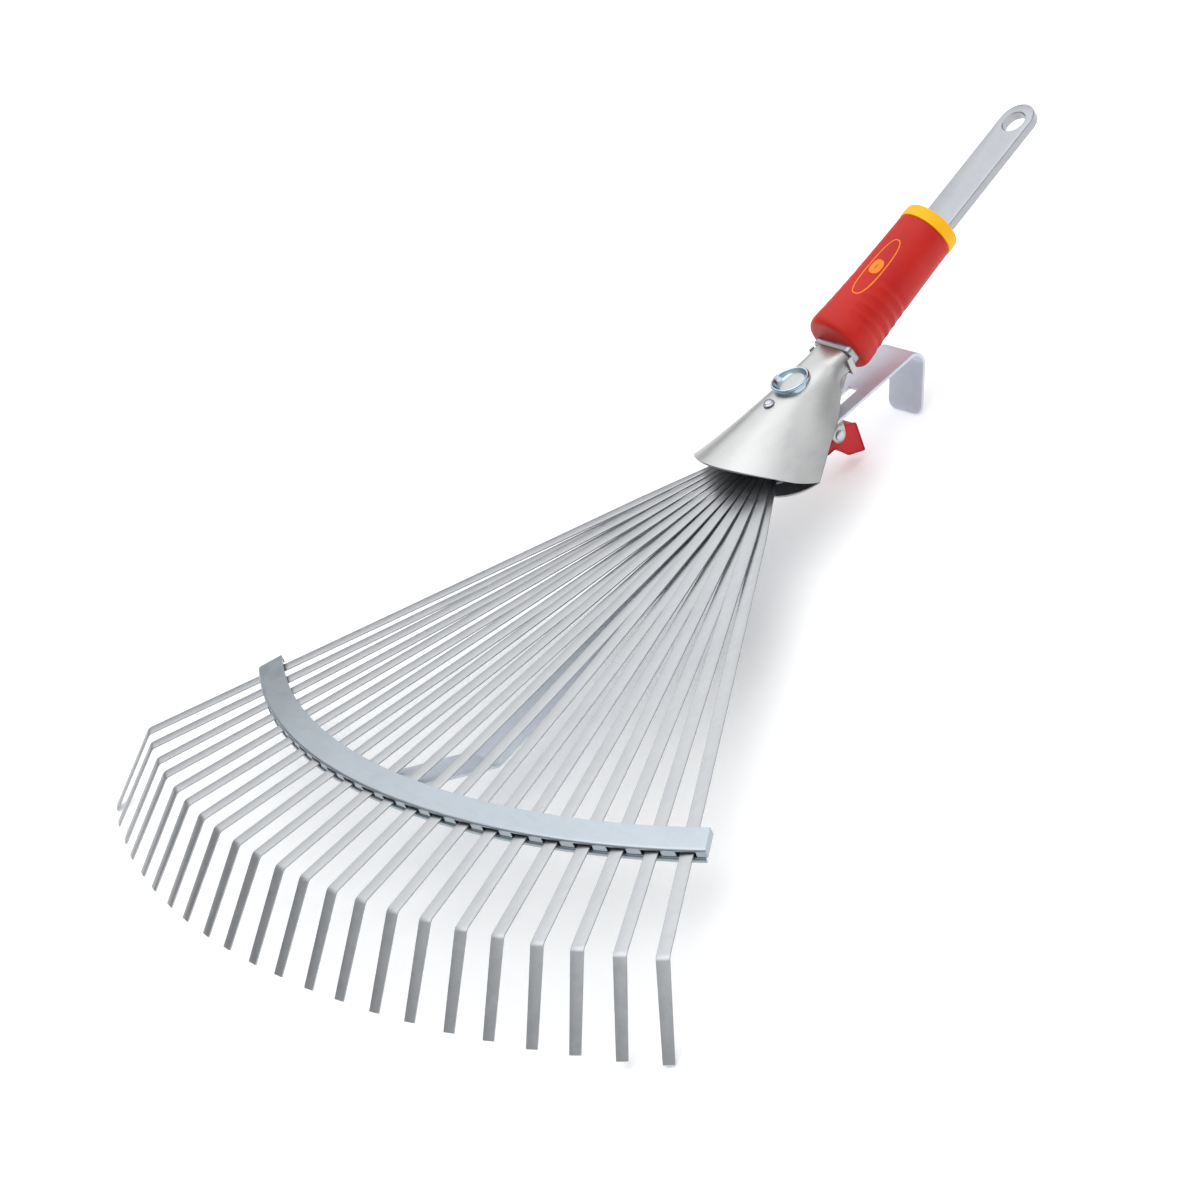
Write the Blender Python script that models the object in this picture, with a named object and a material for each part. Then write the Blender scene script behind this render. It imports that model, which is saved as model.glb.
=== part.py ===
"""Adjustable leaf rake head: spring tines fanned out from a sheet steel hood, with a tang for a handle.

Metres, +Z up. The whole head hangs from one empty, "rake". Inside it the fan frame is used: the origin is
the point where the tine lines meet, the tines run towards -Y, the tang towards +Y, and Z = 0 is the middle
of the tine pack. The empty then tips the head onto its outer tine tips and its finger tab.
"""

import math

import bmesh
import bpy
from mathutils import Matrix, Vector

MM = 0.001
FIT = 0.3 * MM

# Tines
TINE_COUNT = 22
TINE_THICKNESS = 1.0 * MM
TINE_WIDTH = 8.0 * MM
TIP_WIDTH = 7.0 * MM
ROOT_WIDTH = 3.4 * MM
TAB_WIDTH = 2.2 * MM
TAPER_LENGTH = 58 * MM
PIVOT_RADIUS = 34 * MM
LAYER_PITCH = 2.4 * MM
BEND_DISTANCE = 372.5 * MM
OUTER_EXTRA = 15 * MM
BEND_ANGLE = math.radians(42)
BEND_RADIUS = 5 * MM
LEG_LENGTH = 56 * MM

# Spreader bar: an arc in plan, crowned so that its ends hang lower than its middle
BAR_CENTRE_Y = 41.5 * MM
BAR_REAR_RADIUS = 363.5 * MM
BAR_DEPTH = 16.5 * MM
BAR_SHEET = 1.2 * MM
BAR_LIP = 1 * MM
LOWER_LIP_DROP = 1.6 * MM
BAR_UNDERSIDE = 2.6 * MM
BAR_TOOTH_END = -1.2 * MM
BAR_FLOOR = -1.6 * MM
WINDOW_PITCH = 19.3 * MM
WINDOW_WIDTH = 11.2 * MM
BAR_END_MARGIN = 11.5 * MM
CROWN = 0.53

# Root plates that hold the tine roots
PLATE_SHEET = 1.5 * MM
PLATE_HALF_GAP = 2.9 * MM
PLATE_FRONT_RADIUS = 39 * MM
PLATE_SPREAD = math.radians(42)
PLATE_REAR_Y = 26 * MM
PLATE_REAR_HALF = 11 * MM
PACKER_FRONT_RADIUS = 30 * MM
PACKER_SPREAD = math.radians(38)
ROOT_HOLE_RADIUS = 1.5 * MM

# Tang, a flat bar: its inner end lies along the hood ridge, its outer part rises with the handle
TANG_WIDTH = 24.7 * MM
TANG_THICKNESS = 6 * MM
TANG_INNER = Vector((0, -6, 19.2)) * MM
TANG_BEND = Vector((0, 52, 21.95)) * MM
TANG_SLOPE = math.radians(12)
TANG_LENGTH = 205.5 * MM
TANG_HOLE_RADIUS = 7.5 * MM
TANG_HOLE_INSET = 14.3 * MM

# Pieces threaded on the tang, measured along it from its bend
FERRULE_START = 3.5 * MM
FERRULE_LENGTH = 9 * MM
FERRULE_WIDTH = 31 * MM
FERRULE_HEIGHT = 12 * MM
SLEEVE_START = 7.5 * MM
SLEEVE_RISE = 2.3 * MM
SLEEVE_LENGTH = 90 * MM
SLEEVE_PROFILE = ((18.8, 0), (20.4, 1.2), (21.2, 4), (21, 9), (20, 24), (19, 45), (18.3, 68), (17.9, 90))
COLLAR_LENGTH = 8.5 * MM
COLLAR_RADIUS = 18.3 * MM
COLLAR_EDGE = 1.0 * MM

# Hood: two pressed shells joined along a side seam
TOP_SHEET = 1.5 * MM
BACK_SHEET = 1.2 * MM
MOUTH_Y = -26 * MM
SEAM_START_Y = -22 * MM
MOUTH_HALF = 54 * MM
NECK_Y = 44 * MM
NECK_HALF = 15.8 * MM
TOP_REAR_Y = 54 * MM
LIP_REACH = 27 * MM
LIP_CORNER = 0.85
ARCH_POWER = 2
FLANK_POWER = 1.1
BELLY_POWER = 2.2
RIDGE_NECK_Z = 28.3 * MM
RIDGE_DROP = 8.3 * MM
SEAM_MOUTH_Z = -3.5 * MM
SEAM_MIDDLE_Z = 3 * MM
SEAM_MIDDLE_Y = 23.5 * MM
SEAM_NECK_Z = 17 * MM
BACK_REAR_Y = 50 * MM
BACK_LIP_REACH = 11 * MM
BELLY_Z = -17 * MM
BELLY_END_Y = 14 * MM
NECK_BAND_SHEET = 1.2 * MM

# Rivets through the hood
HUB_Y = 19.6 * MM
HUB_SHANK_RADIUS = 3.5 * MM
CUP_RADIUS = 12.3 * MM
CUP_WALL_RADIUS = 10.8 * MM
CUP_REST_Z = 28.25 * MM
FRONT_RIVET_Y = -0.5 * MM
FRONT_HEAD_Z = 26.5 * MM
FRONT_SHANK_RADIUS = 2 * MM

# Draw strap, with the foot that carries the bar and the finger tab behind the hood
STRAP_WIDTH = 29 * MM
STRAP_THICKNESS = 2 * MM
STRAP_TOP_Z = -5.4 * MM
STRAP_BEND_Y = -33 * MM
KNEE = Vector((0, -270, -29.5)) * MM
FOOT_START_Y = -318 * MM
FOOT_END_Y = -337 * MM
HOOK_Y = 108 * MM
TAB_LENGTH = 43 * MM
TAB_TURN = math.radians(119.5)
TAB_CORNER = 6 * MM
TRAVEL = 35 * MM
SLOT_HALF_WIDTH = 4.2 * MM
FOOT_RIVET_X = 9 * MM
FOOT_RIVET_Y = -330 * MM
FOOT_RIVET_RADIUS = 1.8 * MM

# Latch lever and its pivot
LATCH_PIVOT = Vector((0, 30, -17.5)) * MM
LATCH_PIN_RADIUS = 2 * MM
LATCH_HALF_WIDTH = 8 * MM
LEVER_OUTLINE = (
    (-11.5, -7.6), (-4.5, -7.6), (-1.5, -12.5), (2, -17.5), (14.6, -22.9), (16, -2.5), (7.5, 1.5),
    (4.8, 5.5), (2.8, 9.3), (1.2, 9.6), (-2.4, 8.2), (-4, 3.5), (-6, -1.5), (-11.5, -5.4),
)
CHEEK_SHEET = 1.5 * MM
CHEEK_RADIUS = 5 * MM


def clear_scene():
    for obj in list(bpy.data.objects):
        bpy.data.objects.remove(obj, do_unlink=True)


def material(name, colour, roughness, metallic):
    made = bpy.data.materials.new(name)
    made.use_nodes = True
    shader = made.node_tree.nodes["Principled BSDF"]
    shader.inputs["Base Color"].default_value = (*colour, 1)
    shader.inputs["Roughness"].default_value = roughness
    shader.inputs["Metallic"].default_value = metallic
    return made


def make_materials():
    return {
        "galvanised": material("galvanised_steel", (0.58, 0.60, 0.64), 0.38, 1.0),
        "spring": material("spring_steel", (0.52, 0.54, 0.58), 0.42, 1.0),
        "tang": material("plated_steel", (0.62, 0.63, 0.66), 0.32, 1.0),
        "cup": material("polished_steel", (0.72, 0.76, 0.80), 0.15, 1.0),
        "red": material("red_plastic", (0.62, 0.035, 0.02), 0.42, 0.0),
        "yellow": material("yellow_plastic", (0.95, 0.45, 0.01), 0.4, 0.0),
        "latch_red": material("latch_plastic", (0.60, 0.03, 0.045), 0.45, 0.0),
    }


def new_object(name, bm, surface, parent, place=None):
    """Closes a bmesh into an object whose faces point outwards, in the fan frame."""
    bmesh.ops.recalc_face_normals(bm, faces=bm.faces)
    mesh = bpy.data.meshes.new(name)
    bm.to_mesh(mesh)
    bm.free()
    mesh.shade_smooth()
    mesh.set_sharp_from_angle(angle=math.radians(35))
    obj = bpy.data.objects.new(name, mesh)
    bpy.context.scene.collection.objects.link(obj)
    obj.parent = parent
    if place is not None:
        obj.matrix_local = place
    if surface is not None:
        obj.data.materials.append(surface)
    return obj


def cutter(name, bm, parent, place=None):
    obj = new_object(name, bm, None, parent, place)
    obj.hide_render = True
    obj.display_type = "WIRE"
    return obj


def cut(obj, tool):
    boolean = obj.modifiers.new(tool.name, "BOOLEAN")
    boolean.operation = "DIFFERENCE"
    boolean.solver = "EXACT"
    boolean.object = tool


def loft(bm, rings, close_along=False):
    """Joins equal rings of points in order, and caps the two end rings unless the loft closes on itself."""
    made = [[bm.verts.new(point) for point in ring] for ring in rings]
    count = len(made[0])
    pairs = list(zip(made, made[1:]))
    if close_along:
        pairs.append((made[-1], made[0]))
    for near, far in pairs:
        for i in range(count):
            j = (i + 1) % count
            bm.faces.new((near[i], near[j], far[j], far[i]))
    if not close_along:
        bm.faces.new(made[0])
        bm.faces.new(made[-1])


def circle(radius, height, segments, axis="Z", centre=(0, 0, 0)):
    """Points of a circle around an axis through centre, at a height along that axis."""
    points = []
    for i in range(segments):
        turn = math.tau * i / segments
        c, s = radius * math.cos(turn), radius * math.sin(turn)
        local = {"X": (height, c, s), "Y": (s, height, c), "Z": (c, s, height)}[axis]
        points.append(Vector(centre) + Vector(local))
    return points


def turned(bm, profile, segments, axis="Z", centre=(0, 0, 0)):
    """Solid of revolution through (radius, height) pairs, with flat ends."""
    loft(bm, [circle(radius, height, segments, axis, centre) for radius, height in profile])


def cylinder(radius, low, high, segments, axis="Z", centre=(0, 0, 0)):
    bm = bmesh.new()
    turned(bm, ((radius, low), (radius, high)), segments, axis, centre)
    return bm


def block(low, high):
    bm = bmesh.new()
    corners = ((low[0], low[1]), (high[0], low[1]), (high[0], high[1]), (low[0], high[1]))
    loft(bm, [[Vector((x, y, z)) for x, y in corners] for z in (low[2], high[2])])
    return bm


def merged(*parts):
    """One bmesh that holds several separate closed shapes, for a cutter."""
    whole = bmesh.new()
    for part in parts:
        mesh = bpy.data.meshes.new("part")
        part.to_mesh(mesh)
        part.free()
        whole.from_mesh(mesh)
        bpy.data.meshes.remove(mesh)
    return whole


def rounded_path(points, radius, steps=5):
    """Points along a polyline whose inner corners are replaced by arcs of the given radius."""
    path = [points[0]]
    for before, corner, after in zip(points, points[1:], points[2:]):
        back = (before - corner).normalized()
        ahead = (after - corner).normalized()
        half = back.angle(ahead) / 2
        centre = corner + (back + ahead).normalized() * (radius / math.sin(half))
        start = corner + back * (radius / math.tan(half)) - centre
        finish = corner + ahead * (radius / math.tan(half)) - centre
        sweep = start.rotation_difference(finish)
        for i in range(steps + 1):
            part = sweep.copy()
            part.angle = sweep.angle * i / steps
            path.append(centre + part @ start)
    path.append(points[-1])
    return path


def strip(path, half_width, thickness):
    """Flat strip along a path in the YZ plane. half_width gives the half width at each point of the path."""
    rings = []
    for i, point in enumerate(path):
        before = (point - path[i - 1]).normalized() if i else (path[1] - point).normalized()
        after = (path[i + 1] - point).normalized() if i + 1 < len(path) else before
        along = (before + after).normalized()
        normal = Vector((0, -along.z, along.y)) * (thickness / 2 / along.dot(after))
        side = Vector((half_width[i], 0, 0))
        upper, lower = point + normal, point - normal
        rings.append([upper - side, upper + side, lower + side, lower - side])
    bm = bmesh.new()
    loft(bm, rings)
    return bm


def lengths_along(path):
    total = [0.0]
    for a, b in zip(path, path[1:]):
        total.append(total[-1] + (b - a).length)
    return total


# Places


def tine_offset(index):
    return index - (TINE_COUNT - 1) / 2


def crown(x):
    return -CROWN * x * x


def bar_point(radius, turn, height):
    x = radius * math.sin(turn)
    return Vector((x, BAR_CENTRE_Y - radius * math.cos(turn), crown(x) + height))


def window_centre(index):
    radius = BAR_REAR_RADIUS + BAR_DEPTH / 2
    return bar_point(radius, tine_offset(index) * WINDOW_PITCH / radius, 0)


def tine_layer(index):
    """1 for the tines whose roots lie in the upper layer, -1 for those in the lower layer."""
    return 1 if index % 2 == 0 else -1


def pivot_point(index):
    window = window_centre(index)
    flat = Vector((window.x, window.y, 0)).normalized() * PIVOT_RADIUS
    return flat + Vector((0, 0, tine_layer(index) * LAYER_PITCH / 2))


def tine_place(index):
    """Frame at the tine's pivot: -Y along the tine through its window, Z along the pivot axis."""
    pivot = pivot_point(index)
    window = window_centre(index)
    along = (window - pivot).normalized()
    side = math.copysign(1, window.x)
    axis = Vector((-side * crown(window.x), 0, abs(window.x - pivot.x)))
    axis = (axis - along * axis.dot(along)).normalized()
    lateral = (-along).cross(axis)
    basis = Matrix((lateral, -along, axis)).transposed()
    return Matrix.Translation(pivot) @ basis.to_4x4()


def tang_place(distance, rise=0):
    """Frame on the tang's axis, or raised from it, at a distance past its bend: Y runs along the tang."""
    place = Matrix.Translation(TANG_BEND) @ Matrix.Rotation(TANG_SLOPE, 4, "X")
    return place @ Matrix.Translation((0, distance, rise))


def hood_half_width(y):
    left = 1 - min((y - MOUTH_Y) / (NECK_Y - MOUTH_Y), 1)
    return NECK_HALF + (MOUTH_HALF - NECK_HALF) * max(left, 0) ** FLANK_POWER


def seam_height(y):
    """Height of the side seam: nearly level from the mouth, then a smooth rise to the neck."""
    if y < SEAM_MIDDLE_Y:
        t = (y - MOUTH_Y) / (SEAM_MIDDLE_Y - MOUTH_Y)
        return SEAM_MOUTH_Z + (SEAM_MIDDLE_Z - SEAM_MOUTH_Z) * t
    t = min((y - SEAM_MIDDLE_Y) / (NECK_Y - SEAM_MIDDLE_Y), 1)
    return SEAM_MIDDLE_Z + (SEAM_NECK_Z - SEAM_MIDDLE_Z) * t * t * (3 - 2 * t)


def ridge_height(v):
    return RIDGE_NECK_Z - RIDGE_DROP * (1 - v) ** 2


def top_surface(a, edge_y, inset=0):
    """Top shell, outside or set in by inset.

    a runs from -1 to 1 across the shell, and edge_y is where a row of it meets the side seam. The section is
    a round arch at the mouth and becomes square at the neck, where the flat tang fills it.
    """
    v = (edge_y - SEAM_START_Y) / (TOP_REAR_Y - SEAM_START_Y)
    corner = max(abs(a) - LIP_CORNER, 0) / (1 - LIP_CORNER)
    lip_y = MOUTH_Y - LIP_REACH * (1 - a * a) + (SEAM_START_Y - MOUTH_Y) * corner ** 2
    y = lip_y + (TOP_REAR_Y - lip_y) * v
    seam = seam_height(edge_y) + FIT / 2
    squareness = ARCH_POWER + 6 * v ** 2 + 10 * v ** 6
    rise = (ridge_height(v) - inset - seam) * (1 - abs(a) ** squareness)
    return Vector((a * (hood_half_width(edge_y) - inset), y, seam + rise))


def belly_height(y):
    end = seam_height(BACK_REAR_Y)
    t = max(y - BELLY_END_Y, 0) / (BACK_REAR_Y - BELLY_END_Y)
    return end - (end - BELLY_Z) * math.sqrt(max(1 - t * t, 0))


def back_surface(a, edge_y, inset=0):
    """Back shell, outside or set in by inset: a bowl below the seam that closes up to the neck."""
    v = (edge_y - SEAM_START_Y) / (BACK_REAR_Y - SEAM_START_Y)
    lip_y = SEAM_START_Y - BACK_LIP_REACH * (1 - a * a)
    y = lip_y + (BACK_REAR_Y - lip_y) * v
    wall = max((edge_y - NECK_Y) / (BACK_REAR_Y - NECK_Y), 0)
    seam = seam_height(edge_y) - FIT / 2
    drop = max(seam - belly_height(edge_y) - inset * (1 - wall), 0) * (1 - abs(a) ** BELLY_POWER)
    return Vector((a * (hood_half_width(edge_y) - inset), y - inset * wall, seam - drop))


def seam_stations():
    """Rows shared by both shells, so that their edges follow one line. They close up towards the neck."""
    count = 16
    length = BACK_REAR_Y - SEAM_START_Y
    return [SEAM_START_Y + length * math.sin(math.pi / 2 * i / count) for i in range(count + 1)]


# Sub-parts


def shell(surface, across, along, thickness):
    """Sheet between a surface(a, edge_y) and the same surface set in by its thickness."""
    bm = bmesh.new()
    out = [[bm.verts.new(surface(a, y)) for a in across] for y in along]
    inner = [[bm.verts.new(surface(a, y, thickness)) for a in across] for y in along]
    rows, columns = len(along), len(across)
    for i in range(rows - 1):
        for j in range(columns - 1):
            bm.faces.new((out[i][j], out[i][j + 1], out[i + 1][j + 1], out[i + 1][j]))
            bm.faces.new((inner[i][j], inner[i + 1][j], inner[i + 1][j + 1], inner[i][j + 1]))
    rim = [(0, j) for j in range(columns)] + [(i, columns - 1) for i in range(1, rows)]
    rim += [(rows - 1, j) for j in range(columns - 2, -1, -1)] + [(i, 0) for i in range(rows - 2, 0, -1)]
    for (i, j), (k, m) in zip(rim, rim[1:] + rim[:1]):
        bm.faces.new((out[i][j], inner[i][j], inner[k][m], out[k][m]))
    return bm


def make_hood_top(surface, parent):
    across = [math.sin(math.pi / 2 * (j / 12 - 1)) for j in range(25)]
    rows = [*seam_stations(), (BACK_REAR_Y + TOP_REAR_Y) / 2, TOP_REAR_Y]
    hood = new_object("hood_top", shell(top_surface, across, rows, TOP_SHEET), surface, parent)
    holes = merged(
        cylinder(CUP_WALL_RADIUS + FIT, 15 * MM, 40 * MM, 32, centre=(0, HUB_Y, 0)),
        cylinder(FRONT_SHANK_RADIUS + FIT, 15 * MM, 40 * MM, 16, centre=(0, FRONT_RIVET_Y, 0)),
    )
    cut(hood, cutter("hood_top_holes", holes, parent))


def make_hood_back(surface, parent):
    across = [math.sin(math.pi / 2 * (j / 10 - 1)) for j in range(21)]
    hood = new_object("hood_back", shell(back_surface, across, seam_stations(), BACK_SHEET), surface, parent)
    clear = 1 * MM
    half = STRAP_WIDTH / 2 + clear
    slot = block(
        (-half, 12 * MM, STRAP_TOP_Z - STRAP_THICKNESS - clear), (half, 60 * MM, STRAP_TOP_Z + clear)
    )
    cut(hood, cutter("strap_exit", slot, parent))
    cam = LATCH_HALF_WIDTH + 1 * MM
    window = block((-cam, 24.5 * MM, -20 * MM), (cam, 36.5 * MM, STRAP_TOP_Z))
    cut(hood, cutter("cam_window", window, parent))
    hub = cylinder(HUB_SHANK_RADIUS + FIT, -25 * MM, -8 * MM, 24, centre=(0, HUB_Y, 0))
    cut(hood, cutter("hub_hole", hub, parent))


def make_neck_band(surface, parent):
    """U-shaped band that closes the neck from below and laps its sides."""
    inner = NECK_HALF + FIT
    outer = inner + NECK_BAND_SHEET
    floor = SEAM_NECK_Z - 1.2 * MM
    wall_top = RIDGE_NECK_Z - 3.5 * MM
    start, finish = BACK_REAR_Y + 0.7 * MM, TOP_REAR_Y + 0.5 * MM
    outline = (
        (-outer, wall_top), (-outer, floor - NECK_BAND_SHEET), (outer, floor - NECK_BAND_SHEET),
        (outer, wall_top), (inner, wall_top), (inner, floor), (-inner, floor), (-inner, wall_top),
    )
    bm = bmesh.new()
    loft(bm, [[Vector((x, y, z)) for x, z in outline] for y in (start, finish)])
    new_object("neck_band", bm, surface, parent)


def make_tang(surface, parent):
    direction = Vector((0, math.cos(TANG_SLOPE), math.sin(TANG_SLOPE)))
    end = TANG_BEND + direction * TANG_LENGTH
    path = rounded_path([TANG_INNER, TANG_BEND, end], 20 * MM, 4)
    half = TANG_WIDTH / 2
    path = path[:-1]
    widths = [half] * len(path)
    for i in range(9):
        turn = math.pi / 2 * i / 8
        path.append(end - direction * half * (1 - math.sin(turn)))
        widths.append(max(half * math.cos(turn), 0.6 * MM))
    tang = new_object("tang", strip(path, widths, TANG_THICKNESS), surface, parent)
    deep = TANG_THICKNESS
    hanging = cylinder(TANG_HOLE_RADIUS, -deep, deep, 32)
    cut(tang, cutter("tang_hole", hanging, parent, tang_place(TANG_LENGTH - TANG_HOLE_INSET)))
    rivets = merged(
        cylinder(HUB_SHANK_RADIUS + FIT, 10 * MM, 30 * MM, 24, centre=(0, HUB_Y, 0)),
        cylinder(FRONT_SHANK_RADIUS + FIT, 10 * MM, 30 * MM, 16, centre=(0, FRONT_RIVET_Y, 0)),
    )
    cut(tang, cutter("tang_rivet_holes", rivets, parent))


def tang_slot_cutter(parent):
    half, high = TANG_WIDTH / 2 + FIT, TANG_THICKNESS / 2 + FIT
    length = SLEEVE_START + SLEEVE_LENGTH + COLLAR_LENGTH + 20 * MM
    return cutter("tang_slot", block((-half, -5 * MM, -high), (half, length, high)), parent, tang_place(0))


def rounded_rectangle(width, height, corner, y, steps=4):
    points = []
    for quadrant in range(4):
        sx = 1 if quadrant in (0, 3) else -1
        sz = 1 if quadrant in (0, 1) else -1
        centre = Vector((sx * (width / 2 - corner), y, sz * (height / 2 - corner)))
        for i in range(steps + 1):
            turn = math.pi / 2 * (quadrant + i / steps)
            points.append(centre + Vector((math.cos(turn), 0, math.sin(turn))) * corner)
    return points


def make_ferrule(surface, slot, parent):
    bm = bmesh.new()
    ends = (0, FERRULE_LENGTH)
    loft(bm, [rounded_rectangle(FERRULE_WIDTH, FERRULE_HEIGHT, 3 * MM, y) for y in ends])
    ferrule = new_object("ferrule", bm, surface, parent, tang_place(FERRULE_START))
    cut(ferrule, slot)


def make_sleeve(surface, slot, parent):
    bm = bmesh.new()
    profile = [(radius * MM, along * MM) for radius, along in SLEEVE_PROFILE]
    turned(bm, profile, 48, axis="Y")
    sleeve = new_object("sleeve", bm, surface, parent, tang_place(SLEEVE_START, SLEEVE_RISE))
    cut(sleeve, slot)
    recess = bmesh.new()
    depth = FERRULE_START + FERRULE_LENGTH - SLEEVE_START + FIT
    size = (FERRULE_WIDTH + 2 * FIT, FERRULE_HEIGHT + 2 * FIT, 3 * MM + FIT)
    loft(recess, [rounded_rectangle(*size, y) for y in (-3 * MM, depth)])
    cut(sleeve, cutter("ferrule_recess", recess, parent, tang_place(SLEEVE_START)))


def make_collar(surface, slot, parent):
    edge, radius, length = COLLAR_EDGE, COLLAR_RADIUS, COLLAR_LENGTH
    profile = [(radius - 0.3 * edge, 0), (radius, 0.3 * edge), (radius, length - edge)]
    for i in range(1, 4):
        turn = math.pi / 2 * i / 3
        profile.append((radius - edge * (1 - math.cos(turn)), length - edge * (1 - math.sin(turn))))
    bm = bmesh.new()
    turned(bm, profile, 48, axis="Y")
    place = tang_place(SLEEVE_START + SLEEVE_LENGTH + FIT, SLEEVE_RISE)
    collar = new_object("collar", bm, surface, parent, place)
    cut(collar, slot)


def make_cup_rivet(surface, parent):
    """Large rivet with a dished head. It holds the hood, tang and root plates, and its foot is countersunk."""
    rest = CUP_REST_Z
    wall, shank = CUP_WALL_RADIUS, HUB_SHANK_RADIUS
    foot = belly_height(HUB_Y) + 0.5 * MM
    profile = (
        (0.4 * MM, rest - 2.1 * MM), (5 * MM, rest - 1.95 * MM), (8 * MM, rest - 1.2 * MM),
        (9.6 * MM, rest + 0.5 * MM), (10.4 * MM, rest + 1.9 * MM), (11.2 * MM, rest + 2.3 * MM),
        (12.0 * MM, rest + 2.0 * MM), (CUP_RADIUS, rest + 1.2 * MM), (CUP_RADIUS - 0.3 * MM, rest),
        (wall, rest), (wall, rest - 3.4 * MM), (shank, rest - 3.4 * MM), (shank, foot), (0.4 * MM, foot),
    )
    bm = bmesh.new()
    turned(bm, profile, 32)
    new_object("cup_rivet", bm, surface, parent, Matrix.Translation((0, HUB_Y, 0)))


def make_front_rivet(surface, parent):
    head = FRONT_HEAD_Z
    shank = FRONT_SHANK_RADIUS
    foot = -PLATE_HALF_GAP - PLATE_SHEET - 0.3 * MM
    profile = (
        (shank, foot), (shank, head), (3.6 * MM, head), (3.5 * MM, head + 0.7 * MM),
        (2.4 * MM, head + 1.4 * MM), (0.9 * MM, head + 1.6 * MM),
    )
    bm = bmesh.new()
    turned(bm, profile, 20)
    new_object("front_rivet", bm, surface, parent, Matrix.Translation((0, FRONT_RIVET_Y, 0)))


def make_spacer_tube(name, y, bore, wall, surface, parent):
    """Distance tube around a rivet, between the upper root plate and the tang."""
    low = PLATE_HALF_GAP + PLATE_SHEET + FIT
    slope = (TANG_BEND.z - TANG_INNER.z) / (TANG_BEND.y - TANG_INNER.y)
    high = TANG_INNER.z + slope * (y - wall - TANG_INNER.y) - TANG_THICKNESS / 2 - FIT
    bm = bmesh.new()
    section = ((wall, low), (wall, high), (bore, high), (bore, low))
    loft(bm, [circle(radius, height, 20) for radius, height in section], close_along=True)
    new_object(name, bm, surface, parent, Matrix.Translation((0, y, 0)))


def sector_outline(front_radius, spread, steps=12):
    points = []
    for i in range(steps + 1):
        turn = spread * (2 * i / steps - 1)
        points.append((front_radius * math.sin(turn), -front_radius * math.cos(turn)))
    return points + [(PLATE_REAR_HALF, PLATE_REAR_Y), (-PLATE_REAR_HALF, PLATE_REAR_Y)]


def rivet_hole_shapes():
    reach = PLATE_HALF_GAP + 3 * PLATE_SHEET
    return [
        cylinder(HUB_SHANK_RADIUS + FIT, -reach, reach, 20, centre=(0, HUB_Y, 0)),
        cylinder(FRONT_SHANK_RADIUS + FIT, -reach, reach, 16, centre=(0, FRONT_RIVET_Y, 0)),
    ]


def make_root_plate(name, layer, surface, parent):
    """Plate above or below the tine pack, with a hole for the root tab of every second tine."""
    near, far = layer * PLATE_HALF_GAP, layer * (PLATE_HALF_GAP + PLATE_SHEET)
    bm = bmesh.new()
    outline = sector_outline(PLATE_FRONT_RADIUS, PLATE_SPREAD)
    loft(bm, [[Vector((x, y, z)) for x, y in outline] for z in (near, far)])
    plate = new_object(name, bm, surface, parent)
    low, high = sorted((near - layer * PLATE_SHEET, far + layer * PLATE_SHEET))
    shapes = rivet_hole_shapes()
    for index in range(TINE_COUNT):
        if tine_layer(index) == layer:
            pivot = pivot_point(index)
            shapes.append(cylinder(ROOT_HOLE_RADIUS, low, high, 12, centre=(pivot.x, pivot.y, 0)))
    cut(plate, cutter(name + "_holes", merged(*shapes), parent))


def make_packer(surface, parent):
    """Spacer plate behind the tine roots that sets the gap between the two root plates."""
    high = PLATE_HALF_GAP - FIT
    bm = bmesh.new()
    outline = sector_outline(PACKER_FRONT_RADIUS, PACKER_SPREAD)
    loft(bm, [[Vector((x, y, z)) for x, y in outline] for z in (-high, high)])
    packer = new_object("pack_spacer", bm, surface, parent)
    cut(packer, cutter("pack_spacer_holes", merged(*rivet_hole_shapes()), parent))


def tine_width_at(distance, straight):
    """Full width of a tine at a distance from its pivot, out to the end of its straight run and beyond."""
    if distance < TINE_THICKNESS / 2:
        return TAB_WIDTH
    if distance < TAPER_LENGTH:
        return ROOT_WIDTH + (TINE_WIDTH - ROOT_WIDTH) * distance / TAPER_LENGTH
    past = max(distance - straight, 0) / LEG_LENGTH
    return TINE_WIDTH + (TIP_WIDTH - TINE_WIDTH) * past


def make_tine(index, surface, parent):
    straight = BEND_DISTANCE + OUTER_EXTRA * (tine_offset(index) / tine_offset(TINE_COUNT - 1)) ** 2
    tab_end = PLATE_HALF_GAP + PLATE_SHEET - LAYER_PITCH / 2
    corner = Vector((0, -straight, 0))
    leg = Vector((0, -math.cos(BEND_ANGLE), -math.sin(BEND_ANGLE))) * LEG_LENGTH
    run = rounded_path([Vector((0, 0, 0)), corner, corner + leg], BEND_RADIUS, 5)
    neck = [Vector((0, -distance, 0)) for distance in (1.5 * MM, 3 * MM, TAPER_LENGTH)]
    path = [Vector((0, 0, tine_layer(index) * tab_end)), run[0], *neck, *run[1:]]
    widths = [tine_width_at(total - tab_end, straight) / 2 for total in lengths_along(path)]
    name = f"tine_{index + 1:02d}"
    new_object(name, strip(path, widths, TINE_THICKNESS), surface, parent, tine_place(index))


def bar_stations():
    """Turns along the bar's arc, and the kind of each stretch between two of them: end, tooth or window."""
    middle = BAR_REAR_RADIUS + BAR_DEPTH / 2
    half = WINDOW_WIDTH / 2
    last = tine_offset(TINE_COUNT - 1) * WINDOW_PITCH
    start = -last - BAR_END_MARGIN
    places, kinds = [start, start + BAR_SHEET], ["end"]
    for index in range(TINE_COUNT):
        centre = tine_offset(index) * WINDOW_PITCH
        places += [centre - half, centre + half]
        kinds += ["tooth", "window"]
    places += [-start - BAR_SHEET, -start]
    kinds += ["tooth", "end"]
    return [place / middle for place in places], kinds


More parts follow.
